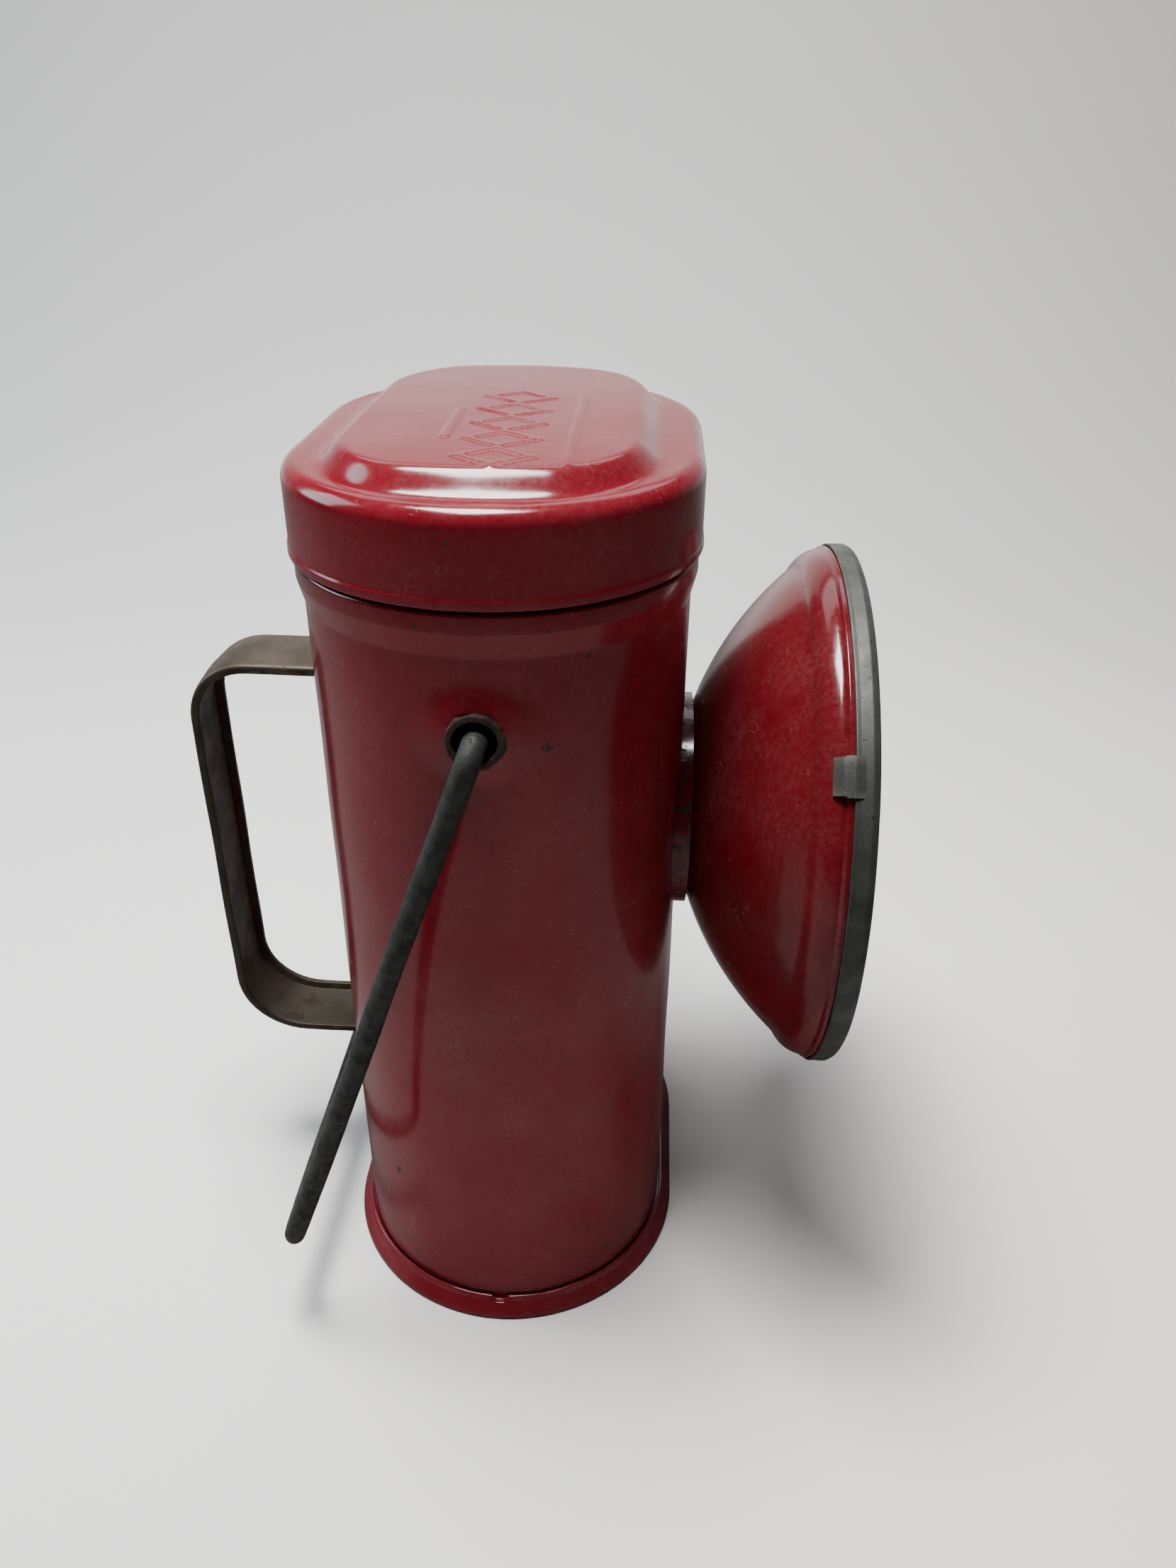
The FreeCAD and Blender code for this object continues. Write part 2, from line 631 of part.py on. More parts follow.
def make_case():
    """Case tube with its bead, rolled mouth, bail bosses and every hole in the sheet."""
    body = new_body("body_shell")
    wall_sketch = new_sketch(body, "CaseWall", "XY_Plane", floor_z)
    stadium(wall_sketch, s.half_width, case_half_length)
    pad(body, wall_sketch, s.mouth_z - floor_z)
    slope = new_sketch(body, "BeadSlope", "XY_Plane", bead_low_z)
    stadium(slope, s.half_width, case_half_length)
    pad(body, slope, s.bead_slope, slope_angle(s.bead_proud, s.bead_slope))
    face = new_sketch(body, "BeadFace", "XY_Plane", bead_low_z + s.bead_slope)
    stadium(face, s.half_width + s.bead_proud, case_half_length + s.bead_proud)
    pad(body, face, s.bead_face)
    roll = new_sketch(body, "MouthRoll", "XY_Plane", s.mouth_z - s.mouth_roll_depth)
    stadium(roll, s.half_width + s.mouth_roll, case_half_length + s.mouth_roll)
    pad(body, roll, s.mouth_roll_depth)

    def on_bead_edge(point):
        offset = stadium_offset(point, s.half_width, case_half_length)
        top = close(point.z, bead_top_z)
        knee = close(point.z, bead_low_z + s.bead_slope)
        return close(offset, s.bead_proud, 0.05) and (top or knee)

    fillet(body, "BeadRound", s.bead_proud * 0.8, on_bead_edge)
    tip = case_half_length + s.boss_proud
    edge = case_half_length - s.boss_root
    dome = new_sketch(body, "Bosses", "YZ_Plane")
    dome_radius = (s.boss_radius * s.boss_radius) / ((tip - edge) * 2) + (tip - edge) / 2
    boss_profile(dome, tip, edge, s.boss_radius, dome_radius)
    turned(body, dome, "Axis0")
    inside = new_sketch(body, "CaseInside", "XY_Plane", s.mouth_z)
    stadium(inside, inner_half_width, inner_half_length)
    pocket(body, inside, s.mouth_z - floor_z)
    hollow = new_sketch(body, "BossHollows", "YZ_Plane")
    boss_profile(hollow, tip - s.wall, edge - s.wall, s.boss_radius, dome_radius)
    turned(body, hollow, "Axis0", "Groove")
    pivot = new_sketch(body, "BailHoles", "XZ_Plane")
    circle(pivot, ZERO, bail_z, s.bail_hole)
    pocket(body, pivot, tip * 3, symmetric=True)
    front = new_sketch(body, "HeadHoles", "YZ_Plane")
    circle(front, ZERO, s.head_z, bush_hole)
    for rivet_y, rivet_z in head_rivets:
        circle(front, rivet_y, s.head_z + rivet_z, rivet_hole)
    pocket(body, front, s.half_width * 2, along_normal=True)
    back = new_sketch(body, "BackHoles", "YZ_Plane")
    for height in strap_rivets:
        circle(back, ZERO, height, rivet_hole)
    for pin_y, pin_z in switch_pins:
        circle(back, pin_y, pin_z, switch_pin_hole)
    slot_low = switch_z - s.slot_half_height
    slot_high = switch_z + s.slot_half_height
    rectangle(back, -s.slot_half_width, slot_low, s.slot_half_width, slot_high)
    pocket(body, back, s.half_width * 2)
    return keep(body)


def boss_profile(sketch, tip, edge, radius, dome_radius):
    """Half section of both pressed bosses, with the pivot line as its axis."""
    low = bail_z
    high = bail_z + radius
    outline(sketch, [
        (-tip, low),
        (tip, low, dome_radius, "left"),
        (edge, high),
        (-edge, high, dome_radius, "left"),
    ])
    start = FreeCAD.Vector(-tip.value, low.value, 0)
    end = FreeCAD.Vector(tip.value, low.value, 0)
    axis = sketch.addGeometry(Part.LineSegment(start, end), True)
    pin(sketch, axis, 1, -tip, low)
    pin(sketch, axis, 2, tip, low)


def make_foot():
    """Floor and flared foot, pressed from one sheet."""
    body = new_body("base_pan")
    wide = s.half_width + s.foot_overhang
    long = case_half_length + s.foot_overhang
    band = new_sketch(body, "FootBand", "XY_Plane")
    stadium(band, wide, long)
    pad(body, band, s.foot_band)
    flare = new_sketch(body, "FootFlare", "XY_Plane", s.foot_band)
    stadium(flare, wide, long)
    flare_rise = s.foot_z - s.foot_band
    pad(body, flare, flare_rise, -slope_angle(s.foot_overhang - s.foot_lip, flare_rise))
    seat = new_sketch(body, "CaseSeat", "XY_Plane", s.foot_z)
    stadium(seat, s.half_width, case_half_length)
    pocket(body, seat, s.foot_z - floor_z)
    under = new_sketch(body, "FootHollow", "XY_Plane")
    stadium(under, wide - s.foot_rim, long - s.foot_rim)
    pocket(body, under, s.foot_recess, along_normal=True)
    notch = new_sketch(body, "LipNotch", "XZ_Plane", case_half_length - s.foot_lip)
    rectangle(notch, -s.notch_width / 2, floor_z + s.notch_low, s.notch_width / 2, s.foot_z * 2)
    pocket(body, notch, s.foot_overhang + s.foot_lip, along_normal=True)
    fillet(body, "FootRound", s.foot_band * 0.8, lambda point: close(point.z, s.foot_band))
    return keep(body)


def make_lid():
    """Lift-off lid: skirt with a hem, rounded shoulder and a raised table."""
    body = new_body("lid_cap")
    skirt = new_sketch(body, "LidSkirt", "XY_Plane", lid_bottom_z)
    stadium(skirt, lid_half_width, lid_half_length)
    pad(body, skirt, s.lid_depth)
    hem = new_sketch(body, "LidHem", "XY_Plane", lid_bottom_z)
    stadium(hem, lid_half_width + s.hem_proud, lid_half_length + s.hem_proud)
    pad(body, hem, s.hem_depth)
    inside = new_sketch(body, "LidInside", "XY_Plane", lid_bottom_z)
    stadium(inside, lid_half_width - s.lid_wall, lid_half_length - s.lid_wall)
    pocket(body, inside, s.lid_depth - s.lid_wall, along_normal=True)

    def on_shoulder(point):
        offset = stadium_offset(point, lid_half_width, lid_half_length)
        return close(point.z, lid_rim_z) and close(offset, 0, 0.05)

    def under_shoulder(point):
        offset = stadium_offset(point, lid_half_width, lid_half_length)
        return close(point.z, lid_rim_z - s.lid_wall) and close(offset, -s.lid_wall, 0.05)

    fillet(body, "LidShoulder", s.lid_shoulder, on_shoulder)
    fillet(body, "LidShoulderInside", s.lid_shoulder - s.lid_wall, under_shoulder)
    half_width = lid_half_width - s.table_inset + s.table_run
    half_length = lid_half_length - s.table_end_inset + s.table_run
    corner = s.table_corner + s.table_run
    slope = -slope_angle(s.table_run, s.table_rise)
    table = new_sketch(body, "LidTable", "XY_Plane", lid_rim_z)
    bowed_panel(table, half_width, half_length, corner, s.table_end)
    pad(body, table, s.table_rise, slope)
    inset = s.lid_wall * 0.5
    hollow = new_sketch(body, "LidTableHollow", "XY_Plane", lid_rim_z - s.lid_wall)
    bowed_panel(hollow, half_width - inset, half_length - inset, corner - inset, s.table_end - inset)
    pocket(body, hollow, s.table_rise, along_normal=True, taper=slope)
    return keep(body)


def make_liner():
    """Insulating sheet under the lid's rim."""
    body = new_body("lid_liner")
    sheet = new_sketch(body, "LinerSheet", "XY_Plane", liner_z)
    edge = s.lid_shoulder + s.liner_edge_gap
    stadium(sheet, lid_half_width - edge, lid_half_length - edge)
    pad(body, sheet, s.liner_sheet)
    return keep(body)


# ---------------------------------------------------------------- bail


def make_eyelets():
    """Flanged eyelets that line the two bail holes."""
    rings = []
    outer = s.bail_hole - s.eyelet_gap
    inner = outer - s.eyelet_wall
    tip = case_half_length + s.boss_proud
    for side, label in ((-1, "near"), (1, "far")):
        start = -tip if side < 0 else eyelet_back
        sleeve_name = "eyelet_" + label
        length = tip - eyelet_back
        sleeve = cylinder(sleeve_name + "Sleeve", outer, length, "Y", ZERO, start, bail_z)
        flange_y = -eyelet_back - s.eyelet_sheet if side < 0 else eyelet_back
        flange = cylinder(
            sleeve_name + "Flange", outer + s.eyelet_flange, s.eyelet_sheet, "Y",
            ZERO, flange_y, bail_z)
        solid = fuse(sleeve_name + "Solid", [sleeve, flange])
        bore = cylinder(sleeve_name + "Bore", inner, length, "Y", ZERO, start, bail_z)
        rings.append(cut(sleeve_name, solid, bore))
    return keep(group("bail_eyelets", rings))


def rod_path(sketch, tail_y, leg_y, drop):
    """Open path of the bail wire: in at one pivot, down, across, up and in at the other."""
    corners = [(tail_y * -1, ZERO), (leg_y * -1, ZERO), (leg_y * -1, -drop)]
    corners += [(leg_y, -drop), (leg_y, ZERO), (tail_y, ZERO)]
    bends = [s.bail_bend, s.bail_corner, s.bail_corner, s.bail_bend]
    trims = [ZERO] + bends + [ZERO]
    count = len(corners)
    lines = []
    for now in range(count - 1):
        ends = []
        for here, there, trim in ((now, now + 1, trims[now]), (now + 1, now, trims[now + 1])):
            start = FreeCAD.Vector(corners[here][0].value, corners[here][1].value, 0)
            way = FreeCAD.Vector(corners[there][0].value, corners[there][1].value, 0) - start
            ends.append(start + way.normalize() * trim.value)
        lines.append(sketch.addGeometry(Part.LineSegment(ends[0], ends[1]), False))
    for now, line in enumerate(lines):
        level = now % 2 == 0
        kind = "Horizontal" if level else "Vertical"
        sketch.addConstraint(Sketcher.Constraint(kind, line))
        if level:
            tie(sketch, "DistanceY", (-1, 1, line, 1), corners[now][1])
        else:
            tie(sketch, "DistanceX", (-1, 1, line, 1), corners[now][0])
    tie(sketch, "DistanceX", (-1, 1, lines[0], 1), corners[0][0])
    tie(sketch, "DistanceX", (-1, 1, lines[-1], 2), corners[-1][0])
    for now, radius in enumerate(bends):
        start = sketch.getPoint(lines[now], 2)
        end = sketch.getPoint(lines[now + 1], 1)
        turn_point = FreeCAD.Vector(corners[now + 1][0].value, corners[now + 1][1].value, 0)
        centre = start + end - turn_point
        shape = Part.Circle(centre, FreeCAD.Vector(0, 0, 1), radius.value)
        arc = sketch.addGeometry(arc_between(shape, start, end), False)
        sketch.addConstraint(Sketcher.Constraint("Tangent", lines[now], 2, arc, 1))
        sketch.addConstraint(Sketcher.Constraint("Tangent", arc, 2, lines[now + 1], 1))
        tie(sketch, "Radius", (arc,), radius)


def make_bail():
    """Bail wire, drawn hanging straight down from the pivot line and then leant towards -X."""
    body = new_body("bail_rod", z=bail_z)
    retainer_y = eyelet_back - s.bail_play
    tail_y = retainer_y - s.retainer_sheet - s.rod_tail
    leg_y = case_half_length + s.bail_offset
    path = new_sketch(body, "RodPath", "YZ_Plane")
    rod_path(path, tail_y, leg_y, bail_drop)
    section = new_sketch(body, "RodSection", "XZ_Plane", tail_y)
    circle(section, ZERO, ZERO, s.rod_radius)
    doc.recompute()
    pipe = body.newObject("PartDesign::AdditivePipe", "RodPipe")
    pipe.Profile = section
    pipe.Spine = path
    lean = lean_angle(s.half_width + s.rod_radius + s.bail_rest_gap, bail_drop)
    body.Placement = FreeCAD.Placement(
        FreeCAD.Vector(), FreeCAD.Rotation(FreeCAD.Vector(0, 1, 0), lean.value))
    place(body, z=bail_z)
    bind(body, "Placement.Rotation.Angle", lean)
    washers = []
    for side, label in ((-1, "near"), (1, "far")):
        start = -retainer_y if side < 0 else retainer_y - s.retainer_sheet
        washers.append(tube(
            "retainer_" + label, s.retainer_radius, s.rod_radius, s.retainer_sheet, "Y",
            ZERO, start, bail_z))
    keep(body)
    return keep(group("bail_retainers", washers))


# ---------------------------------------------------------------- carrying strap


def strap_outline(sketch, depth, top_z, low_z, out):
    """U outline of the strap in side view, open towards the case."""
    outline(sketch, [
        (-s.half_width, top_z),
        (-out, top_z),
        (-out, low_z),
        (-s.half_width, low_z),
        (-s.half_width, low_z + depth),
        (-out + depth, low_z + depth),
        (-out + depth, top_z - depth),
        (-s.half_width, top_z - depth),
    ])


def make_strap():
    """Carrying strap: a channel with rolled edges, bent to a U, with a foot at each end."""
    body = new_body("StrapChannelBody")
    depth = s.strap_lip
    full = new_sketch(body, "StrapChannel", "XZ_Plane")
    strap_outline(full, depth, strap_top_z, s.strap_bottom_z, strap_out)
    pad(body, full, s.strap_width, symmetric=True)

    def at_corner(x_size, z_size):
        return lambda point: close(point.x, x_size) and close(point.z, z_size)

    high = strap_top_z
    low = s.strap_bottom_z
    fillet(body, "TopOuterBend", s.strap_top_bend, at_corner(-strap_out, high))
    fillet(body, "LowOuterBend", s.strap_low_bend, at_corner(-strap_out, low))
    fillet(body, "TopInnerBend", s.strap_top_bend - depth, at_corner(-strap_out + depth, high - depth))
    fillet(body, "LowInnerBend", s.strap_low_bend - depth, at_corner(-strap_out + depth, low + depth))
    groove = new_body("StrapGroove")
    sheet = s.strap_sheet
    hollow = new_sketch(groove, "StrapHollow", "XZ_Plane")
    outline(hollow, [
        (-inner_half_width, high - sheet),
        (-strap_out + sheet, high - sheet),
        (-strap_out + sheet, low + sheet),
        (-inner_half_width, low + sheet),
    ])
    pad(groove, hollow, s.strap_width - s.strap_edge * 2, symmetric=True)
    out = -strap_out + sheet
    fillet(groove, "TopHollowBend", s.strap_top_bend - sheet, at_corner(out, high - sheet))
    fillet(groove, "LowHollowBend", s.strap_low_bend - sheet, at_corner(out, low + sheet))
    channel = cut("StrapBent", body, groove)
    half = s.strap_width / 2 - s.strap_edge
    foot_out = -s.half_width - sheet
    top_foot = box(
        "StrapTopFoot", (foot_out, -half, top_foot_low_z), (-s.half_width, half, high - sheet))
    low_foot = box(
        "StrapLowFoot", (foot_out, -half, low + sheet), (-s.half_width, half, low_foot_high_z))
    joined = fuse("StrapWhole", [channel, top_foot, low_foot])
    holes = []
    for index, height in enumerate(strap_rivets):
        holes.append(cylinder(
            "StrapHole%d" % index, rivet_hole, sheet * 3, "X", foot_out - sheet, ZERO, height))
    return keep(cut("handle_strap", joined, fuse("StrapHoles", holes)))


def make_strap_rivets():
    """Four rivets that hold the strap's feet to the case."""
    rivets = []
    start = -s.half_width - s.strap_sheet
    for index, height in enumerate(strap_rivets):
        rivets.append(rivet(
            "StrapRivet%d" % index, start, -inner_half_width, ZERO, height,
            s.rivet_radius, s.rivet_head, s.rivet_rise))
    return keep(group("handle_rivets", rivets))


# ---------------------------------------------------------------- lamp head

bowl_floor = s.collar_depth + s.bowl_wall
pin_front = bowl_floor + s.socket_sheet + s.rivet_gap * 2
lamp_back = pin_front + s.lamp_tip_depth
glass_back = s.bowl_depth + s.mirror_sheet + s.gasket_sheet
bezel_front = glass_back + s.glass_depth + s.bezel_sheet
glass_radius = bezel_radius - s.bezel_sheet - s.glass_gap


def head_body(label):
    """A body whose origin is where the head's axis meets the case's flat side."""
    return new_body(label, x=s.half_width, z=s.head_z)


def make_collar():
    """Collar with a saddle-shaped back that fits round the case."""
    body = new_body("head_collar", z=s.head_z)
    disc = new_sketch(body, "CollarDisc", "YZ_Plane", s.half_width - s.collar_seat)
    circle(disc, ZERO, ZERO, s.collar_radius)
    circle(disc, ZERO, ZERO, bush_hole)
    for rivet_y, rivet_z in head_rivets:
        circle(disc, rivet_y, rivet_z, rivet_hole)
    pad(body, disc, s.collar_seat + s.collar_depth)
    saddle = new_sketch(body, "CollarSaddle", "XY_Plane")
    stadium(saddle, s.half_width, case_half_length)
    pocket(body, saddle, s.collar_radius * 3, symmetric=True)
    return keep(body)


def make_bowl():
    """Bowl: flat back, bulged flank and a step up to the rim."""
    body = head_body("lamp_bowl")
    profile = new_sketch(body, "BowlProfile", "XZ_Plane")
    sheet = s.bowl_wall
    rim_x = s.bowl_depth - s.bowl_rim_band
    shoulder_x = s.bowl_shoulder_x + sheet * BOWL_SHOULDER_FORWARD
    shoulder = bowl_shoulder - sheet * BOWL_SHOULDER_INWARD
    outline(profile, [
        (s.collar_depth, bush_hole),
        (s.collar_depth, s.bowl_foot, s.bowl_bulge, "right"),
        (s.bowl_shoulder_x, bowl_shoulder, s.bowl_rim_bulge, "right"),
        (rim_x, s.bowl_rim),
        (s.bowl_depth, s.bowl_rim),
        (s.bowl_depth, s.bowl_rim - sheet),
        (rim_x, s.bowl_rim - sheet, s.bowl_rim_bulge - sheet, "left"),
        (shoulder_x, shoulder, s.bowl_bulge - sheet, "left"),
        (bowl_floor, s.bowl_foot - sheet * BOWL_FOOT_INWARD),
        (bowl_floor, bush_hole),
    ])
    turned(body, profile, "H_Axis")
    holes = new_sketch(body, "BowlRivetHoles", "YZ_Plane")
    for rivet_y, rivet_z in head_rivets:
        circle(holes, rivet_y, rivet_z, rivet_hole)
    pocket(body, holes, bowl_floor * 1.5, along_normal=True)
    return keep(body)


def make_reflector():
    """Reflector with a flange that lies on the bowl's rim."""
    body = head_body("reflector")
    profile = new_sketch(body, "MirrorProfile", "XZ_Plane")
    sheet = s.mirror_sheet
    outline(profile, [
        (s.mirror_back_x, s.mirror_hole, s.mirror_curve, "right"),
        (s.bowl_depth, mirror_mouth),
        (s.bowl_depth, s.bowl_rim),
        (s.bowl_depth + sheet, s.bowl_rim),
        (s.bowl_depth + sheet, mirror_mouth - sheet, s.mirror_curve, "left"),
        (s.mirror_back_x + sheet * 1.3, s.mirror_hole),
    ])
    turned(body, profile, "H_Axis")
    return keep(body)


def make_glass():
    """Bowed lens glass and the gasket behind it."""
    body = head_body("lens_glass")
    profile = new_sketch(body, "GlassProfile", "XZ_Plane")
    bowed = glass_radius - s.glass_border
    curve = (bowed * bowed) / (s.glass_crown * 2) + s.glass_crown / 2
    front = glass_back + s.glass_depth
    outline(profile, [
        (glass_back, glass_radius),
        (front, glass_radius),
        (front, bowed, curve, "right"),
        (front + s.glass_crown, ZERO),
        (glass_back + s.glass_crown, ZERO, curve, "left"),
        (glass_back, bowed),
    ])
    turned(body, profile, "H_Axis")
    keep(body)
    gasket_x = s.half_width + s.bowl_depth + s.mirror_sheet
    inner = glass_radius - s.gasket_inset
    return keep(tube(
        "lens_gasket", glass_radius, inner, s.gasket_sheet, "X", gasket_x, ZERO, s.head_z))


def make_bezel():
    """Bezel with two clip tabs, opposite each other, bent in behind the bowl's rim."""
    body = head_body("lens_ring")
    body.Placement = FreeCAD.Placement(
        FreeCAD.Vector(), FreeCAD.Rotation(FreeCAD.Vector(-1, 0, 0), s.tab_turn.value))
    place(body, x=s.half_width, z=s.head_z)
    bind(body, "Placement.Rotation.Angle", s.tab_turn)
    profile = new_sketch(body, "BezelProfile", "XZ_Plane")
    outer = bezel_radius
    inner = outer - s.bezel_sheet
    outline(profile, [
        (s.bowl_depth, inner),
        (s.bowl_depth, outer),
        (bezel_front, outer),
        (bezel_front, outer - s.bezel_lip),
        (bezel_front - s.bezel_sheet, outer - s.bezel_lip),
        (bezel_front - s.bezel_sheet, inner),
    ])
    turned(body, profile, "H_Axis")

    def around(front, radius):
        return lambda point: close(point.x, front) and close(math.hypot(point.y, point.z), radius)

    fillet(body, "BezelRound", s.bezel_round, around(bezel_front, outer))
    inner_round = s.bezel_round - s.bezel_sheet
    fillet(body, "BezelRoundInside", inner_round, around(bezel_front - s.bezel_sheet, inner))
    bend_x = s.bowl_depth - s.tab_reach * 0.4
    end_x = s.bowl_depth - s.tab_reach
    for side, name in ((-1, "NearTab"), (1, "FarTab")):
        tab = new_sketch(body, name, "XY_Plane")
        outline(tab, [
            (s.bowl_depth + s.bezel_sheet, outer * side),
            (bend_x, outer * side),
            (end_x, (outer - s.tab_tuck) * side),
            (end_x, (inner - s.tab_tuck) * side),
            (bend_x, inner * side),
            (s.bowl_depth + s.bezel_sheet, inner * side),
        ])
        pad(body, tab, s.tab_width, symmetric=True)
    return keep(body)


def make_lamp():
    """Screw-base lamp: globe, base with its centre contact, and filament on two supports."""
    base_front = lamp_back + s.lamp_screw_depth
    centre = lamp_back + s.lamp_stem
    neck_back = base_front - s.lamp_neck_depth
    sheet = s.lamp_glass_sheet
    globe = head_body("bulb_glass")
    profile = new_sketch(globe, "GlobeProfile", "XZ_Plane")
    inner = s.lamp_glass - sheet
    bore = s.lamp_neck - sheet
    join = centre - root(s.lamp_glass * s.lamp_glass - s.lamp_neck * s.lamp_neck)
    inner_join = centre - root(inner * inner - bore * bore)
    outline(profile, [
        (neck_back, bore),
        (neck_back, s.lamp_neck),
        (join, s.lamp_neck, s.lamp_glass, "right"),
        (centre + s.lamp_glass, ZERO),
        (centre + inner, ZERO, inner, "left"),
        (inner_join, bore),
    ])
    turned(globe, profile, "H_Axis")
    keep(globe)
    start = s.half_width + lamp_back
    shell = cylinder("BulbShell", s.lamp_screw, s.lamp_screw_depth, "X", start, ZERO, s.head_z)
    tip_x = s.half_width + pin_front
    tip = cylinder("BulbTip", s.lamp_tip, s.lamp_tip_depth, "X", tip_x, ZERO, s.head_z)
    seat_x = s.half_width + neck_back
    seat = cylinder("BulbSeat", s.lamp_neck, s.lamp_neck_depth, "X", seat_x, ZERO, s.head_z)
    keep(cut("bulb_base", fuse("BulbBaseSolid", [shell, tip]), seat))
    wires = []
    length = centre - neck_back
    for side in (-1, 1):
        z = s.head_z + s.filament_gap * side
        name = "FilamentSupport%d" % (side + 1)
        wires.append(cylinder(name, s.filament_wire, length, "X", seat_x, ZERO, z))
    span = s.filament_gap * 2
    low = s.head_z - s.filament_gap
    wires.append(cylinder(
        "FilamentCoil", s.filament_wire * 0.8, span, "Z", s.half_width + centre, ZERO, low))
    return keep(fuse("bulb_filament", wires))


def make_socket():
    """Screw socket on the bowl's back, with its bush and centre pin through the case."""
    body = head_body("lamp_socket")
    profile = new_sketch(body, "SocketProfile", "XZ_Plane")
    bore = s.lamp_screw + s.socket_gap
    outer = bore + s.socket_sheet
    flange_front = bowl_floor + s.socket_sheet
    front = bowl_floor + s.socket_depth
    outline(profile, [
        (bowl_floor, bore),
        (bowl_floor, s.socket_flange),
        (flange_front, s.socket_flange),
        (flange_front, outer),
        (front, outer),
        (front, bore),
    ])
    turned(body, profile, "H_Axis")
    keep(body)
    bush_length = s.wall + bowl_floor
    keep(tube(
        "socket_insulator", s.bush_radius, s.pin_radius + s.pin_gap, bush_length, "X",
        inner_half_width, ZERO, s.head_z))
    pin_back = inner_half_width - s.board_sheet
    pin_length = s.board_sheet + s.wall + pin_front
    return keep(cylinder(
        "socket_contact", s.pin_radius, pin_length, "X", pin_back, ZERO, s.head_z))


def make_head_rivets():
    """Four rivets through the case, the collar and the bowl's back."""
    rivets = []
    end = s.half_width + bowl_floor
    for index, (rivet_y, rivet_z) in enumerate(head_rivets):
        rivets.append(rivet(
            "HeadRivet%d" % index, inner_half_width, end, rivet_y, s.head_z + rivet_z,
            s.rivet_radius, s.rivet_head, s.rivet_rise))
    return keep(group("head_rivets", rivets))


# ---------------------------------------------------------------- dry cell

carbon_top = seal_top_z + s.carbon_rise
cap_top = carbon_top + s.cap_depth
zinc_x = -s.zinc_post_place
zinc_seat = seal_top_z + s.zinc_foot_depth


def make_cell():
    """Round dry cell: jacket, zinc can, black mix, pitch seal, carbon rod and two terminals."""
    y = cell_y
    can_radius = cell_radius - s.jacket_sheet
    mix_radius = can_radius - s.can_sheet
    mix_z = floor_z + s.can_sheet
    keep(tube("battery_jacket", cell_radius, can_radius, jacket_top_z - floor_z, "Z", ZERO, y, floor_z))
    can = cylinder("CanSolid", can_radius, seal_z - floor_z, "Z", ZERO, y, floor_z)
    inside = cylinder("CanInside", mix_radius, seal_z - mix_z, "Z", ZERO, y, mix_z)
    keep(cut("battery_can", can, inside))
    mix = cylinder("MixSolid", mix_radius, seal_z - mix_z, "Z", ZERO, y, mix_z)
    seal = cylinder("SealSolid", can_radius, s.seal_sheet, "Z", ZERO, y, seal_z)
    rod_z = floor_z + s.carbon_start
    for label, solid in (("battery_mix", mix), ("battery_seal", seal)):
        bore = cylinder(label + "Bore", s.carbon_radius, carbon_top - rod_z, "Z", ZERO, y, rod_z)
        keep(cut(label, solid, bore))
    keep(cylinder("carbon_rod", s.carbon_radius, carbon_top - rod_z, "Z", ZERO, y, rod_z))
    cap = cylinder("CapDisc", s.cap_radius, s.cap_depth, "Z", ZERO, y, carbon_top)
    cap_stud = cylinder("CapStud", s.post_radius, s.post_rise, "Z", ZERO, y, cap_top)
    keep(fuse("carbon_post", [cap, cap_stud]))
    foot = cylinder("ZincFoot", s.zinc_foot, s.zinc_foot_depth, "Z", zinc_x, y, seal_top_z)
    zinc_stud = cylinder("ZincStud", s.post_radius, s.post_rise, "Z", zinc_x, y, zinc_seat)
    keep(fuse("zinc_post", [foot, zinc_stud]))
    nuts = []
    for x, seat, label in ((ZERO, cap_top, "CarbonNut"), (zinc_x, zinc_seat, "ZincNut")):
        nuts.append(tube(
            label, s.nut_radius, s.post_radius, s.nut_depth, "Z", x, y, seat + s.lead_sheet))
    return keep(group("terminal_nuts", nuts))


def make_spacer():
    """Packing block that holds the cell towards the far end."""
    body = new_body("battery_spacer")
    block = new_sketch(body, "SpacerBlock", "XY_Plane", floor_z)
    stadium(block, inner_half_width - s.spacer_gap, inner_half_length - s.spacer_gap)
    height = s.spacer_top - floor_z
    pad(body, block, height)
    front = new_sketch(body, "SpacerFront", "XY_Plane", s.spacer_top)
    rectangle(front, -s.half_width, -s.spacer_edge, s.half_width, case_half_length)
    pocket(body, front, height)
    hollow = new_sketch(body, "SpacerHollow", "XY_Plane", s.spacer_top)
    circle(hollow, ZERO, cell_y, cell_radius + s.spacer_gap)
    pocket(body, hollow, height)
    return keep(body)


# ---------------------------------------------------------------- wiring and switch

board_x = inner_half_width - s.board_sheet
strip_x = board_x - s.lead_sheet
post_hole = s.post_radius + s.pin_gap


def make_lamp_lead():
    """Brass strip from the carbon terminal to the lamp's centre pin, and the board behind it."""
    body = new_body("lamp_lead")
    riser = new_sketch(body, "LampRiser", "YZ_Plane", strip_x)
    low = s.head_z - s.lead_tail
    rectangle(riser, -s.lead_half, low, s.lead_half, cap_top + s.lead_sheet)
    pad(body, riser, s.lead_sheet)
    arm = new_sketch(body, "LampArm", "XY_Plane", cap_top)
    near = cell_y - s.eye_half
    far = cell_y + s.eye_half
    outline(arm, [
        (board_x, -s.lead_half),
        (board_x, far),
        (-s.eye_half, far),
        (-s.eye_half, near),
        (board_x - s.lead_half * 2, near),
        (board_x - s.lead_half * 2, -s.lead_half),
    ])
    circle(arm, ZERO, cell_y, post_hole)
    pad(body, arm, s.lead_sheet)
    keep(body)
    board = new_body("lead_board")
    sheet = new_sketch(board, "LampBoard", "YZ_Plane", board_x)
    rectangle(sheet, -s.board_half, low - s.board_margin, s.board_half, jacket_top_z)
    circle(sheet, ZERO, s.head_z, s.pin_radius + s.pin_gap)
    pad(board, sheet, s.board_sheet)
    return keep(board)


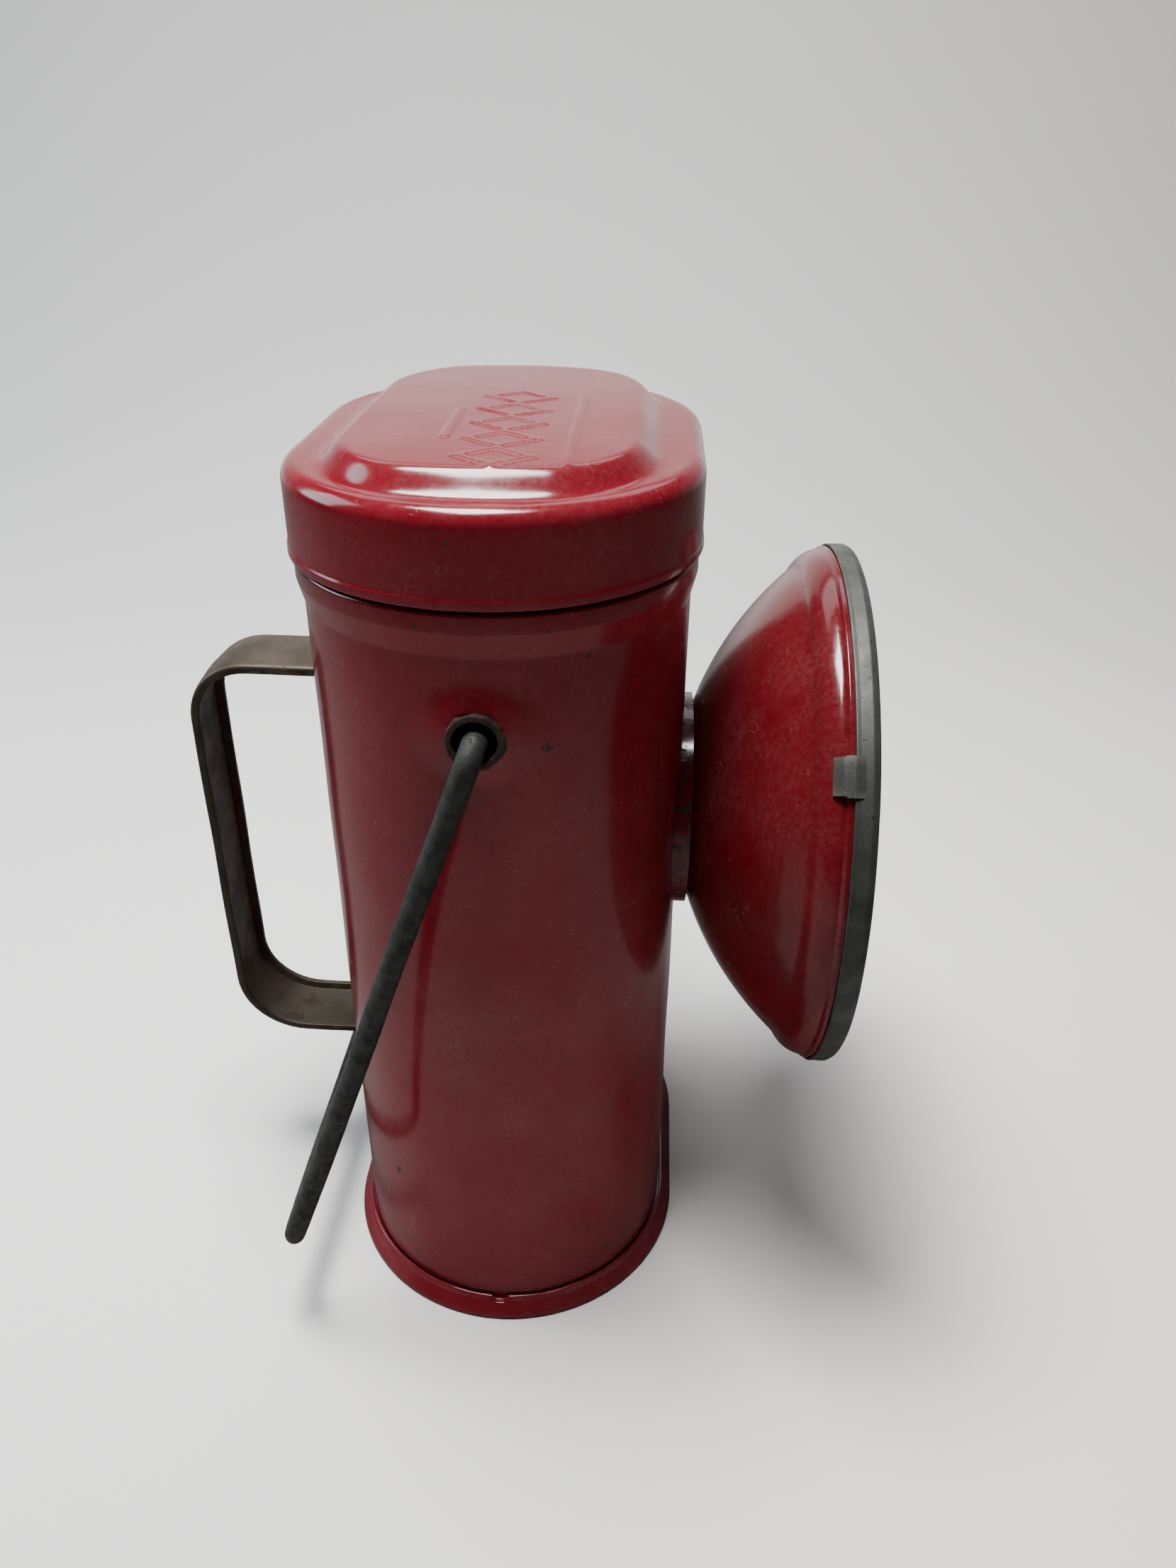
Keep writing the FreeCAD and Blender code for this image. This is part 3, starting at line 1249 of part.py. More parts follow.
def make_switch_lead():
    """Brass strip from the zinc terminal to the switch, and the board behind it."""
    body = new_body("switch_lead")
    top = zinc_seat + s.lead_sheet
    pad_low = switch_z + s.pad_low
    pad_high = pad_low + s.pad_depth
    riser_low = s.riser_y - s.riser_half
    riser_high = s.riser_y + s.riser_half
    riser = new_sketch(body, "SwitchRiser", "YZ_Plane", -board_x)
    outline(riser, [
        (-s.pad_half_width, pad_low),
        (s.pad_half_width, pad_low),
        (s.pad_half_width, pad_high - s.riser_half),
        (riser_high, pad_high - s.riser_half),
        (riser_high, top),
        (riser_low, top),
        (riser_low, pad_high + s.riser_half),
        (-s.pad_half_width, pad_high + s.riser_half),
    ])
    pad(body, riser, s.lead_sheet)
    arm = new_sketch(body, "SwitchArm", "XY_Plane", zinc_seat)
    low = cell_y - s.eye_half
    high = cell_y + s.eye_half
    rectangle(arm, -board_x, low, zinc_x + s.eye_half, high)
    circle(arm, zinc_x, cell_y, post_hole)
    pad(body, arm, s.lead_sheet)
    keep(body)
    board = new_body("switch_board")
    sheet = new_sketch(board, "SwitchBoard", "YZ_Plane", -inner_half_width)
    edge = riser_high + s.board_margin
    step = switch_z + s.plate_half_height + s.board_margin
    outline(sheet, [
        (-s.plate_half_width, switch_z - s.plate_half_height),
        (edge, switch_z - s.plate_half_height),
        (edge, jacket_top_z),
        (riser_low - s.board_margin, jacket_top_z),
        (riser_low - s.board_margin, step),
        (-s.plate_half_width, step),
    ])
    switch_openings(sheet)
    pad(board, sheet, s.board_sheet)
    return keep(board)


def switch_openings(sketch):
    """Slot and rivet holes that the plate and the board have in common."""
    slot_low = switch_z - s.slot_half_height
    slot_high = switch_z + s.slot_half_height
    rectangle(sketch, -s.slot_half_width, slot_low, s.slot_half_width, slot_high)
    for pin_y, pin_z in switch_pins:
        circle(sketch, pin_y, pin_z, switch_pin_hole)


def make_switch():
    """Slide switch on the case's back: plate, four rivets, thumb slide and bridging contact."""
    plate = new_body("switch_plate")
    plate_x = -s.half_width - s.plate_sheet
    face = new_sketch(plate, "SwitchFace", "YZ_Plane", plate_x)
    low = switch_z - s.plate_half_height
    high = switch_z + s.plate_half_height
    rectangle(face, -s.plate_half_width, low, s.plate_half_width, high)
    switch_openings(face)
    pad(plate, face, s.plate_sheet)
    keep(plate)
    rivets = []
    for index, (pin_y, pin_z) in enumerate(switch_pins):
        rivets.append(rivet(
            "SwitchRivet%d" % index, plate_x, -board_x, pin_y, pin_z,
            s.switch_pin, s.switch_pin_head, s.switch_pin_rise))
    keep(group("switch_rivets", rivets))
    off_z = switch_z - s.switch_travel / 2
    slide = new_body("switch_slider", z=off_z)
    knob_x = plate_x - s.slide_gap
    bridge_x = -strip_x + s.slide_gap
    stem = new_sketch(slide, "SwitchStem", "YZ_Plane", knob_x)
    stem_half = s.slot_half_width - s.stem_gap
    rectangle(stem, -stem_half, -s.stem_half_height, stem_half, s.stem_half_height)
    pad(slide, stem, bridge_x - knob_x)
    knob = new_sketch(slide, "SwitchKnob", "YZ_Plane", knob_x - s.knob_depth)
    rectangle(
        knob, -s.knob_half_width, -s.knob_half_height, s.knob_half_width, s.knob_half_height)
    pad(slide, knob, s.knob_depth)
    outer_x = knob_x - s.knob_depth
    fillet(slide, "KnobRound", s.knob_depth * 0.3, lambda point: close(point.x, outer_x))
    keep(slide)
    bridge_low = off_z - s.bridge_half_height
    bridge_high = off_z + s.bridge_half_height
    return keep(box(
        "switch_bridge", (bridge_x, -s.bridge_half_width, bridge_low),
        (bridge_x + s.bridge_sheet, s.bridge_half_width, bridge_high)))


# ---------------------------------------------------------------- build, check and export


def build():
    """Makes every sub-part."""
    makers = [
        make_case, make_foot, make_lid, make_liner, make_eyelets, make_bail, make_strap,
        make_strap_rivets, make_collar, make_bowl, make_reflector, make_glass, make_bezel,
        make_lamp, make_socket, make_head_rivets, make_cell, make_spacer, make_lamp_lead,
        make_switch_lead, make_switch,
    ]
    for maker in makers:
        maker()
    doc.recompute()


def check():
    """Stops if any object failed or any sub-part has no valid solid."""
    for thing in doc.Objects:
        if "Invalid" in thing.State or "Error" in thing.State:
            raise RuntimeError("failed object: %s %s" % (thing.Label, thing.State))
    for piece in parts:
        if piece.Shape.isNull() or not piece.Shape.isValid() or not piece.Shape.Solids:
            raise RuntimeError("bad shape: " + piece.Label)


def export():
    """Writes one STEP file for each sub-part."""
    os.makedirs("parts", exist_ok=True)
    for piece in parts:
        piece.Shape.exportStep(os.path.join("parts", piece.Label + ".step"))
        print("%s, %.1f mm3" % (piece.Label, piece.Shape.Volume))


build()
check()
export()
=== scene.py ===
"""Looks of a red pressed-steel battery hand lantern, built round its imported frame.

Sizes in the classes are millimetres. Meshes, lights and the camera are in metres.
"""

import json
import logging
import math
from dataclasses import dataclass
from enum import Enum
from typing import Callable, Optional, Sequence

import bmesh
import bpy
from mathutils import Euler, Matrix, Vector, noise


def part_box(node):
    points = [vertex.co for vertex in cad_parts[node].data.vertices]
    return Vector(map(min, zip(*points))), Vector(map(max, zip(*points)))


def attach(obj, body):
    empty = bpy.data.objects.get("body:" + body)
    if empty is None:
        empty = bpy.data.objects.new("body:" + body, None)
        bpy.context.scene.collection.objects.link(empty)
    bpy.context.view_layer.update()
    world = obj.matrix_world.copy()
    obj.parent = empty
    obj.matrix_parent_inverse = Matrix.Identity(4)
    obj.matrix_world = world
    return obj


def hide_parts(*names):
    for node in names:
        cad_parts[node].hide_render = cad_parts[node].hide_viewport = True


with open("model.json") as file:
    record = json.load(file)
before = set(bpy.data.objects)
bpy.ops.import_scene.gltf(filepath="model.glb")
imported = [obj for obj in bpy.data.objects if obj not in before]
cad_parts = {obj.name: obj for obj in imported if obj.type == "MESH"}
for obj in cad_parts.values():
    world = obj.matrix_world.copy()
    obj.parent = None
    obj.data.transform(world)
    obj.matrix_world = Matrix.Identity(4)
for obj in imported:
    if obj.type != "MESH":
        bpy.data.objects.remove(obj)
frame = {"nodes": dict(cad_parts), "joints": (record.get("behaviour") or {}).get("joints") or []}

MM = 0.001
NOISE_SEED = 7
LOG = logging.getLogger("lantern")

Pair = tuple[float, float]
Colour = tuple[float, float, float]
Ring = list[Vector]

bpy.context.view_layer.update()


# ---------------------------------------------------------------- plain geometry


def smooth_step(low: float, high: float, value: float) -> float:
    """Smooth rise from 0 to 1 as value goes from low to high."""
    share = min(max((value - low) / (high - low), 0.0), 1.0)
    return share * share * (3 - 2 * share)


def smooth_max(first: float, second: float, blend: float) -> float:
    """Larger of two heights, with a fillet of about this size where they cross."""
    share = max(blend - abs(first - second), 0.0) / blend
    return max(first, second) + share * share * blend / 4


def node_box(node: str) -> tuple[Vector, Vector]:
    """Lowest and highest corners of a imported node, in millimetres.

    Args:
        node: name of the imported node.

    Returns:
        The two corners.
    """
    low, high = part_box(node)
    return Vector(low) / MM, Vector(high) / MM


def rounded(corners: Sequence[tuple[float, ...]], steps: int = 6, closed: bool = False) -> list[Pair]:
    """Polyline whose corners are rounded by tangent arcs.

    Args:
        corners: (x, y) or (x, y, radius) for each corner.
        steps: straight pieces in each arc.
        closed: whether the last corner joins the first.

    Returns:
        The points along the line.
    """
    points: list[Pair] = []
    count = len(corners)
    for index, corner in enumerate(corners):
        here = Vector(corner[:2])
        radius = corner[2] if len(corner) > 2 else 0.0
        if radius <= 0 or (not closed and index in (0, count - 1)):
            points.append((here.x, here.y))
            continue
        before = (Vector(corners[index - 1][:2]) - here).normalized()
        after = (Vector(corners[(index + 1) % count][:2]) - here).normalized()
        half = before.angle(after) / 2
        start = here + before * radius / math.tan(half)
        end = here + after * radius / math.tan(half)
        centre = here + (before + after).normalized() * radius / math.sin(half)
        for step in range(steps + 1):
            spoke = (start - centre).slerp(end - centre, step / steps) * radius
            points.append(((centre + spoke).x, (centre + spoke).y))
    return points


def arc(start: Pair, end: Pair, bulge: float, steps: int) -> list[Pair]:
    """Points of a shallow arc.

    Args:
        start: first point.
        end: last point.
        bulge: height of the arc over its chord, to the left of the way along it.
        steps: straight pieces in the arc.

    Returns:
        The points, both ends included.
    """
    first, last = Vector(start), Vector(end)
    chord = last - first
    left = Vector((-chord.y, chord.x)).normalized()
    points = []
    for step in range(steps + 1):
        share = step / steps
        point = first + chord * share + left * bulge * 4 * share * (1 - share)
        points.append((point.x, point.y))
    return points


def spaced(points: Sequence[Pair], gap: float) -> list[Pair]:
    """The same line with points no further apart than a gap."""
    result = [points[0]]
    for first, last in zip(points, points[1:]):
        length = math.dist(first, last)
        pieces = max(1, math.ceil(length / gap))
        for piece in range(1, pieces + 1):
            share = piece / pieces
            result.append((first[0] + (last[0] - first[0]) * share, first[1] + (last[1] - first[1]) * share))
    return result


def wobble(point: Vector, size: float, depth: float, seed: float) -> float:
    """Slow unevenness of hand-pressed sheet at a point, in millimetres."""
    return noise.noise(point / size + Vector((seed, seed * 2, seed * 3))) * depth


# ---------------------------------------------------------------- mesh making


def finish_mesh(name: str, work: bmesh.types.BMesh, sharp: float = 40.0) -> bpy.types.Object:
    """Turns a bmesh in millimetres into a smooth-shaded object.

    Args:
        name: name of the piece.
        work: the bmesh, freed here.
        sharp: edges that turn by more degrees than this stay sharp.

    Returns:
        The new object.
    """
    bmesh.ops.remove_doubles(work, verts=work.verts, dist=0.001)
    bmesh.ops.recalc_face_normals(work, faces=work.faces)
    bmesh.ops.scale(work, vec=Vector((MM, MM, MM)), verts=work.verts)
    mesh = bpy.data.meshes.new(name)
    work.to_mesh(mesh)
    work.free()
    mesh.polygons.foreach_set("use_smooth", [True] * len(mesh.polygons))
    mesh.set_sharp_from_angle(angle=math.radians(sharp))
    piece = bpy.data.objects.new(name, mesh)
    bpy.context.scene.collection.objects.link(piece)
    return piece


def add_loft(
    work: bmesh.types.BMesh, rings: Sequence[Ring], looped: bool = True, joined: bool = False,
    capped: bool = False,
) -> None:
    """Adds a skin over rings of equal length.

    Args:
        work: the bmesh to add to.
        rings: the rings, in order.
        looped: whether each ring closes on itself.
        joined: whether the last ring joins the first.
        capped: whether the first and last rings are filled.
    """
    rows = [[work.verts.new(point) for point in ring] for ring in rings]
    count = len(rows[0])
    for index in range(len(rows) if joined else len(rows) - 1):
        first, second = rows[index], rows[(index + 1) % len(rows)]
        for step in range(count if looped else count - 1):
            after = (step + 1) % count
            work.faces.new((first[step], first[after], second[after], second[step]))
    if capped:
        work.faces.new(rows[0])
        work.faces.new(list(reversed(rows[-1])))


def loft(name: str, rings: Sequence[Ring], sharp: float = 40.0, **how: bool) -> bpy.types.Object:
    """One skin over rings, as a piece of its own."""
    work = bmesh.new()
    add_loft(work, rings, **how)
    return finish_mesh(name, work, sharp)


class Axis(Enum):
    """Line that a profile is turned about: its own way, then the two ways square to it."""

    X = (Vector((1, 0, 0)), Vector((0, 1, 0)), Vector((0, 0, 1)))
    Y = (Vector((0, 1, 0)), Vector((1, 0, 0)), Vector((0, 0, 1)))
    Z = (Vector((0, 0, 1)), Vector((1, 0, 0)), Vector((0, 1, 0)))


def turned_rings(
    profile: Sequence[Pair], origin: Vector, segments: int, axis: Axis = Axis.X,
    adjust: Callable[[int, Vector, float], float] = lambda step, spoke, radius: radius,
) -> list[Ring]:
    """Rings of a profile turned about a line.

    Args:
        profile: (distance along the line, radius) pairs.
        origin: start of the line.
        segments: points in each ring.
        axis: way of the line.
        adjust: gives a point's radius from its step, its spoke and the profile's radius.

    Returns:
        One ring for each pair.
    """
    ahead, first, second = axis.value
    rings = []
    for along, radius in profile:
        ring = []
        for step in range(segments):
            turn = 2 * math.pi * step / segments
            spoke = first * math.cos(turn) + second * math.sin(turn)
            ring.append(origin + ahead * along + spoke * adjust(step, spoke, radius))
        rings.append(ring)
    return rings


def lathe(
    name: str, profile: Sequence[Pair], origin: Vector, segments: int = 144, joined: bool = True
) -> bpy.types.Object:
    """Piece turned about a line along X. Its profile is a closed section."""
    return loft(name, turned_rings(profile, origin, segments), joined=joined)


def sweep_rings(path: Sequence[Vector], sections: Sequence[Sequence[Pair]], side: Vector) -> list[Ring]:
    """Rings of sections set square across a flat path.

    Args:
        path: the points of the path.
        sections: a section for each point, as (inward, sideways) pairs.
        side: normal of the path's plane.

    Returns:
        One ring for each point.
    """
    rings = []
    for index, point in enumerate(path):
        before = path[max(index - 1, 0)]
        after = path[min(index + 1, len(path) - 1)]
        ahead = (after - before).normalized()
        inward = side.cross(ahead).normalized()
        rings.append([point + inward * depth + side * across for depth, across in sections[index]])
    return rings


def disc(radius: float, segments: int) -> list[Pair]:
    """Round section."""
    turns = (2 * math.pi * step / segments for step in range(segments))
    return [(radius * math.cos(turn), radius * math.sin(turn)) for turn in turns]


@dataclass(frozen=True)
class Stadium:
    """Plan of the case: two flat sides along Y and two half-round ends."""

    half_width: float
    half_length: float

    @property
    def reach(self) -> float:
        """Distance of each end's centre from the middle."""
        return self.half_length - self.half_width

    def ring(self, offset: float, z: float, count: int) -> Ring:
        """Points evenly spaced round the plan, moved outward by an offset."""
        quarter = math.pi * self.half_width / 2
        total = 4 * (quarter + self.reach)
        points = []
        for step in range(count):
            along = total * step / count
            quadrant, rest = divmod(along, total / 4)
            if int(quadrant) % 2:
                rest = total / 4 - rest
            if rest < self.reach:
                x, y, out = self.half_width + offset, rest, Vector((1, 0))
            else:
                turn = (rest - self.reach) / self.half_width
                out = Vector((math.cos(turn), math.sin(turn)))
                x = out.x * (self.half_width + offset)
                y = self.reach + out.y * (self.half_width + offset)
            if int(quadrant) in (1, 2):
                x = -x
            if int(quadrant) in (2, 3):
                y = -y
            points.append(Vector((x, y, z)))
        return points

    def distance(self, x: float, y: float) -> float:
        """How far a point stands outside the plan."""
        return math.hypot(x, max(abs(y) - self.reach, 0.0)) - self.half_width


def ray_reach(distance: Callable[[float, float], float], turn: float, level: float) -> float:
    """Length of a ray from the middle to where a distance field reaches a level.

    Args:
        distance: signed distance of (x, y) from an outline.
        turn: direction of the ray, in radians.
        level: distance wanted.

    Returns:
        The length of the ray.
    """
    low, high = 0.0, 80.0
    for _ in range(26):
        middle = (low + high) / 2
        if distance(middle * math.cos(turn), middle * math.sin(turn)) < level:
            low = middle
        else:
            high = middle
    return low


# ---------------------------------------------------------------- shader effects


class NodeSheet:
    """Short way to write a node tree."""

    def __init__(self, tree: bpy.types.NodeTree) -> None:
        """Wraps a tree."""
        self.tree = tree

    def add(self, kind: str, inputs: Optional[dict] = None, **settings: object) -> bpy.types.Node:
        """Adds a node, sets its properties, and sets or links its inputs.

        Args:
            kind: node type, such as ShaderNodeMix.
            inputs: input name or number to a value or to another node's output.
            settings: node properties.

        Returns:
            The new node.
        """
        node = self.tree.nodes.new(kind)
        for key, value in settings.items():
            setattr(node, key, value)
        for key, value in (inputs or {}).items():
            if isinstance(value, bpy.types.NodeSocket):
                self.tree.links.new(value, node.inputs[key])
            else:
                node.inputs[key].default_value = value
        return node

    def maths(self, operation: str, first: object, second: object = 0.0, clamp: bool = False) -> object:
        """Output of a Math node."""
        node = self.add("ShaderNodeMath", {0: first, 1: second}, operation=operation, use_clamp=clamp)
        return node.outputs[0]

    def times(self, first: object, second: object) -> object:
        """Product of two values."""
        return self.maths("MULTIPLY", first, second)

    def plus(self, first: object, second: object) -> object:
        """Sum of two values."""
        return self.maths("ADD", first, second)

    def minus(self, first: object, second: object) -> object:
        """Difference of two values."""
        return self.maths("SUBTRACT", first, second)

    def largest(self, first: object, *others: object) -> object:
        """Largest of several values."""
        for other in others:
            first = self.maths("MAXIMUM", first, other)
        return first

    def spread(
        self, value: object, low: object, high: object, start: object = 0.0, end: object = 1.0
    ) -> object:
        """Output of a clamped Map Range node."""
        inputs = {"Value": value, "From Min": low, "From Max": high, "To Min": start, "To Max": end}
        return self.add("ShaderNodeMapRange", inputs).outputs["Result"]

    def blend(self, share: object, first: object, second: object) -> object:
        """Output of a colour Mix node."""
        node = self.add("ShaderNodeMix", {0: share, 6: first, 7: second}, data_type="RGBA")
        return node.outputs[2]

    def tint(self, base: object, mask: object, strength: float, colour: tuple) -> object:
        """A base with a colour laid over it where a mask shows."""
        return self.blend(self.times(mask, strength), base, colour)

    def noise(self, place: object, scale: object, detail: float = 3.0, rough: float = 0.5) -> object:
        """Noise value at a place."""
        inputs = {"Vector": place, "Scale": scale, "Detail": detail, "Roughness": rough}
        return self.add("ShaderNodeTexNoise", inputs).outputs["Fac"]

    def moved(self, place: object, scale: Sequence[float], turn: Sequence[float] = (0, 0, 0)) -> object:
        """A place scaled and turned."""
        inputs = {"Vector": place, "Scale": Vector(scale), "Rotation": Euler(turn)}
        return self.add("ShaderNodeMapping", inputs).outputs["Vector"]


class Effect(Enum):
    """Shader effects that several finishes share."""

    SCRATCHES = "Scratches"
    CHIPS = "Chips"
    EDGE_WEAR = "EdgeWear"
    DUST = "Dust"
    MOTTLE = "Mottle"
    RIPPLE = "Ripple"


def new_group(effect: Effect, inputs: dict, outputs: Sequence[str]) -> tuple:
    """Starts a node group with float inputs and outputs.

    Args:
        effect: the effect that names the group.
        inputs: input names and their default values.
        outputs: names of the outputs.

    Returns:
        The group's sheet, its inputs and its outputs.
    """
    group = bpy.data.node_groups.new(effect.value, "ShaderNodeTree")
    group.interface.new_socket("Place", in_out="INPUT", socket_type="NodeSocketVector")
    for name, value in inputs.items():
        socket = group.interface.new_socket(name, in_out="INPUT", socket_type="NodeSocketFloat")
        socket.default_value = value
    for name in outputs:
        group.interface.new_socket(name, in_out="OUTPUT", socket_type="NodeSocketFloat")
    sheet = NodeSheet(group)
    return sheet, sheet.add("NodeGroupInput").outputs, sheet.add("NodeGroupOutput").inputs


def make_scratches() -> None:
    """Fine lines in three directions, broken up by a slower noise. Place is in millimetres."""
    sheet, given, out = new_group(Effect.SCRATCHES, {"Amount": 0.5, "Width": 0.012}, ["Mask"])
    masks = []
    for index, turn in enumerate(((0.3, 0.2, 0.5), (1.1, -0.4, 2.0), (-0.6, 0.9, 1.2))):
        place = sheet.moved(given["Place"], (1.1, 0.035, 0.9), turn)
        ridge = sheet.maths("ABSOLUTE", sheet.minus(sheet.noise(place, 0.5 + index * 0.2, 1.0), 0.5))
        line = sheet.spread(ridge, 0.0, given["Width"], 1.0, 0.0)
        gate = sheet.noise(given["Place"], 0.09 + index * 0.05, 2.0)
        shown = sheet.minus(1.0, given["Amount"])
        masks.append(sheet.times(line, sheet.spread(gate, shown, sheet.plus(shown, 0.1))))
    sheet.tree.links.new(sheet.largest(*masks), out["Mask"])


def make_chips() -> None:
    """Small ragged spots where a coat has come off. Place is in millimetres."""
    sheet, given, out = new_group(Effect.CHIPS, {"Spacing": 0.12, "Size": 0.1, "Amount": 0.4}, ["Mask"])
    rag = sheet.noise(given["Place"], 1.4, 4.0)
    cells = sheet.add(
        "ShaderNodeTexVoronoi", {"Vector": given["Place"], "Scale": given["Spacing"]})
    edge = sheet.plus(cells.outputs["Distance"], sheet.spread(rag, 0.3, 0.7, -0.05, 0.05))
    spot = sheet.spread(edge, sheet.times(given["Size"], 0.8), given["Size"], 1.0, 0.0)
    chance = sheet.add("ShaderNodeSeparateColor", {0: cells.outputs["Color"]}).outputs[0]
    shown = sheet.maths("LESS_THAN", chance, given["Amount"])
    sheet.tree.links.new(sheet.times(spot, shown), out["Mask"])


def make_edge_wear() -> None:
    """Wear on outward edges, broken up by noise. Place is in millimetres."""
    sheet, given, out = new_group(Effect.EDGE_WEAR, {"Start": 0.53, "Reach": 0.06, "Break": 0.5}, ["Mask"])
    point = sheet.add("ShaderNodeNewGeometry").outputs["Pointiness"]
    edge = sheet.spread(point, given["Start"], sheet.plus(given["Start"], given["Reach"]))
    rag = sheet.noise(given["Place"], 0.35, 5.0, 0.65)
    low = sheet.minus(given["Break"], 0.04)
    high = sheet.plus(given["Break"], 0.04)
    sheet.tree.links.new(sheet.times(edge, sheet.spread(rag, low, high)), out["Mask"])


def make_dust() -> None:
    """Soft cloudy film, as dust and hand grease leave. Place is in millimetres."""
    sheet, given, out = new_group(Effect.DUST, {"Size": 0.03, "Fine": 0.4}, ["Mask"])
    slow = sheet.spread(sheet.noise(given["Place"], given["Size"], 4.0, 0.6), 0.3, 0.75)
    fine = sheet.spread(sheet.noise(given["Place"], given["Fine"], 5.0, 0.7), 0.25, 0.8)
    sheet.tree.links.new(sheet.times(slow, fine), out["Mask"])


def make_mottle() -> None:
    """Patchy dull plate: broad clouds, fine grain and small dark pits. Place is in millimetres."""
    sheet, given, out = new_group(Effect.MOTTLE, {"Clouds": 0.12, "Grain": 2.0}, ["Clouds", "Grain", "Pits"])
    clouds = sheet.spread(sheet.noise(given["Place"], given["Clouds"], 6.0, 0.65), 0.32, 0.68)
    grain = sheet.noise(given["Place"], given["Grain"], 4.0, 0.6)
    cells = sheet.add("ShaderNodeTexVoronoi", {"Vector": given["Place"], "Scale": 0.45})
    pits = sheet.spread(sheet.plus(cells.outputs["Distance"], grain), 0.50, 0.60, 1.0, 0.0)
    for name, value in (("Clouds", clouds), ("Grain", grain), ("Pits", pits)):
        sheet.tree.links.new(value, out[name])


def make_ripple() -> None:
    """Very shallow waves of a sprayed or dipped coat. Place is in millimetres."""
    sheet, given, out = new_group(Effect.RIPPLE, {"Size": 0.35}, ["Height"])
    wave = sheet.noise(given["Place"], given["Size"], 2.0, 0.4)
    sheet.tree.links.new(wave, out["Height"])


MAKERS: dict = {
    Effect.SCRATCHES: make_scratches,
    Effect.CHIPS: make_chips,
    Effect.EDGE_WEAR: make_edge_wear,
    Effect.DUST: make_dust,
    Effect.MOTTLE: make_mottle,
    Effect.RIPPLE: make_ripple,
}


class Surface(NodeSheet):
    """A material's node tree with its Principled shader."""

    def __init__(self, name: str) -> None:
        """Starts a material."""
        self.material = bpy.data.materials.new(name + "_look")
        self.material.use_nodes = True
        super().__init__(self.material.node_tree)
        self.shader = self.tree.nodes["Principled BSDF"]
        place = self.add("ShaderNodeTexCoord").outputs["Object"]
        self.place = self.moved(place, (1 / MM, 1 / MM, 1 / MM))

    def set(self, **values: object) -> None:
        """Sets or links the shader's inputs. Underscores stand for spaces."""
        for key, value in values.items():
            name = key.replace("_", " ")
            if isinstance(value, bpy.types.NodeSocket):
                self.tree.links.new(value, self.shader.inputs[name])
            else:
                self.shader.inputs[name].default_value = value

    def effect(self, effect: Effect, **values: object) -> bpy.types.Node:
        """Places a shared effect.

        Args:
            effect: which effect.
            values: its inputs.

        Returns:
            The group node.
        """
        if effect.value not in bpy.data.node_groups:
            MAKERS[effect]()
        node = self.add("ShaderNodeGroup", node_tree=bpy.data.node_groups[effect.value])
        self.tree.links.new(self.place, node.inputs["Place"])
        for key, value in values.items():
            node.inputs[key].default_value = value
        return node

    def mask(self, effect: Effect, **values: object) -> object:
        """The one output of a shared effect."""
        return self.effect(effect, **values).outputs[0]

    def level(self) -> object:
        """Height of the place over the floor, in millimetres."""
        return self.add("ShaderNodeSeparateXYZ", {0: self.place}).outputs[2]

    def bump(self, height: object, depth: float, strength: float = 1.0) -> None:
        """Feeds a height, in millimetres when it is 1, to the shader's normal."""
        node = self.add("ShaderNodeBump", {"Height": height, "Distance": depth * MM, "Strength": strength})
        self.set(Normal=node.outputs["Normal"])


def rgba(colour: Colour) -> tuple:
    """A colour with full alpha."""
    return (*colour, 1.0)


def shade(colour: Colour, factor: float, lift: float = 0.0) -> tuple:
    """A colour made lighter or darker, never as bright as fresh paint."""
    return rgba(tuple(min(part * factor + lift, 0.9) for part in colour))


# ---------------------------------------------------------------- finishes


@dataclass(frozen=True)
class Enamel:
    """Glossy stoved enamel on sheet steel, scuffed and chipped to dark metal."""

    name: str
    colour: Colour
    rough: float = 0.16
    gloss: float = 0.15
    chip_amount: float = 0.10
    wear_start: float = 0.56
    # dark seam lines: painted shade of the seams' gaps, together with dirt and lost coat
    seam_dirt_and_shade_lines: tuple = ()

    def material(self) -> bpy.types.Material:
        """Builds the material."""
        look = Surface(self.name)
        tone = look.mask(Effect.DUST, Size=0.022, Fine=0.25)
        base = look.blend(tone, rgba(self.colour), shade(self.colour, 0.72))
        film = look.mask(Effect.DUST, Size=0.05, Fine=0.9)
        base = look.tint(base, film, 0.10, rgba((0.42, 0.28, 0.27)))
        scratches = look.mask(Effect.SCRATCHES, Amount=0.38, Width=0.009)
        base = look.tint(base, scratches, 0.35, rgba((0.30, 0.14, 0.13)))
        chips = look.mask(Effect.CHIPS, Spacing=0.085, Size=0.075, Amount=self.chip_amount)
        specks = look.mask(Effect.CHIPS, Spacing=0.33, Size=0.11, Amount=0.05)
        edges = look.mask(Effect.EDGE_WEAR, Start=self.wear_start, Reach=0.03, Break=0.58)
        # bare metal from chips and worn edges, and the dark seam lines, which are partly painted shade
        bare_and_seam_shade = look.largest(chips, specks, edges, *(line(look) for line in self.seam_dirt_and_shade_lines))
        base = look.blend(bare_and_seam_shade, base, rgba((0.022, 0.016, 0.014)))
        haze = look.spread(film, 0.1, 0.9, self.rough, self.rough + 0.16)
        rough = look.largest(haze, look.times(scratches, 0.42), look.times(bare_and_seam_shade, 0.6))
        ripple = look.mask(Effect.RIPPLE, Size=0.16)
        relief = look.minus(ripple, look.times(bare_and_seam_shade, 0.5))
        relief = look.minus(relief, look.times(scratches, 0.12))
        look.bump(relief, 0.08, 0.7)
        look.set(Base_Color=base, Roughness=rough, Metallic=0.0, IOR=1.45)
        look.set(Coat_Weight=self.gloss, Coat_Roughness=0.06)
        return look.material


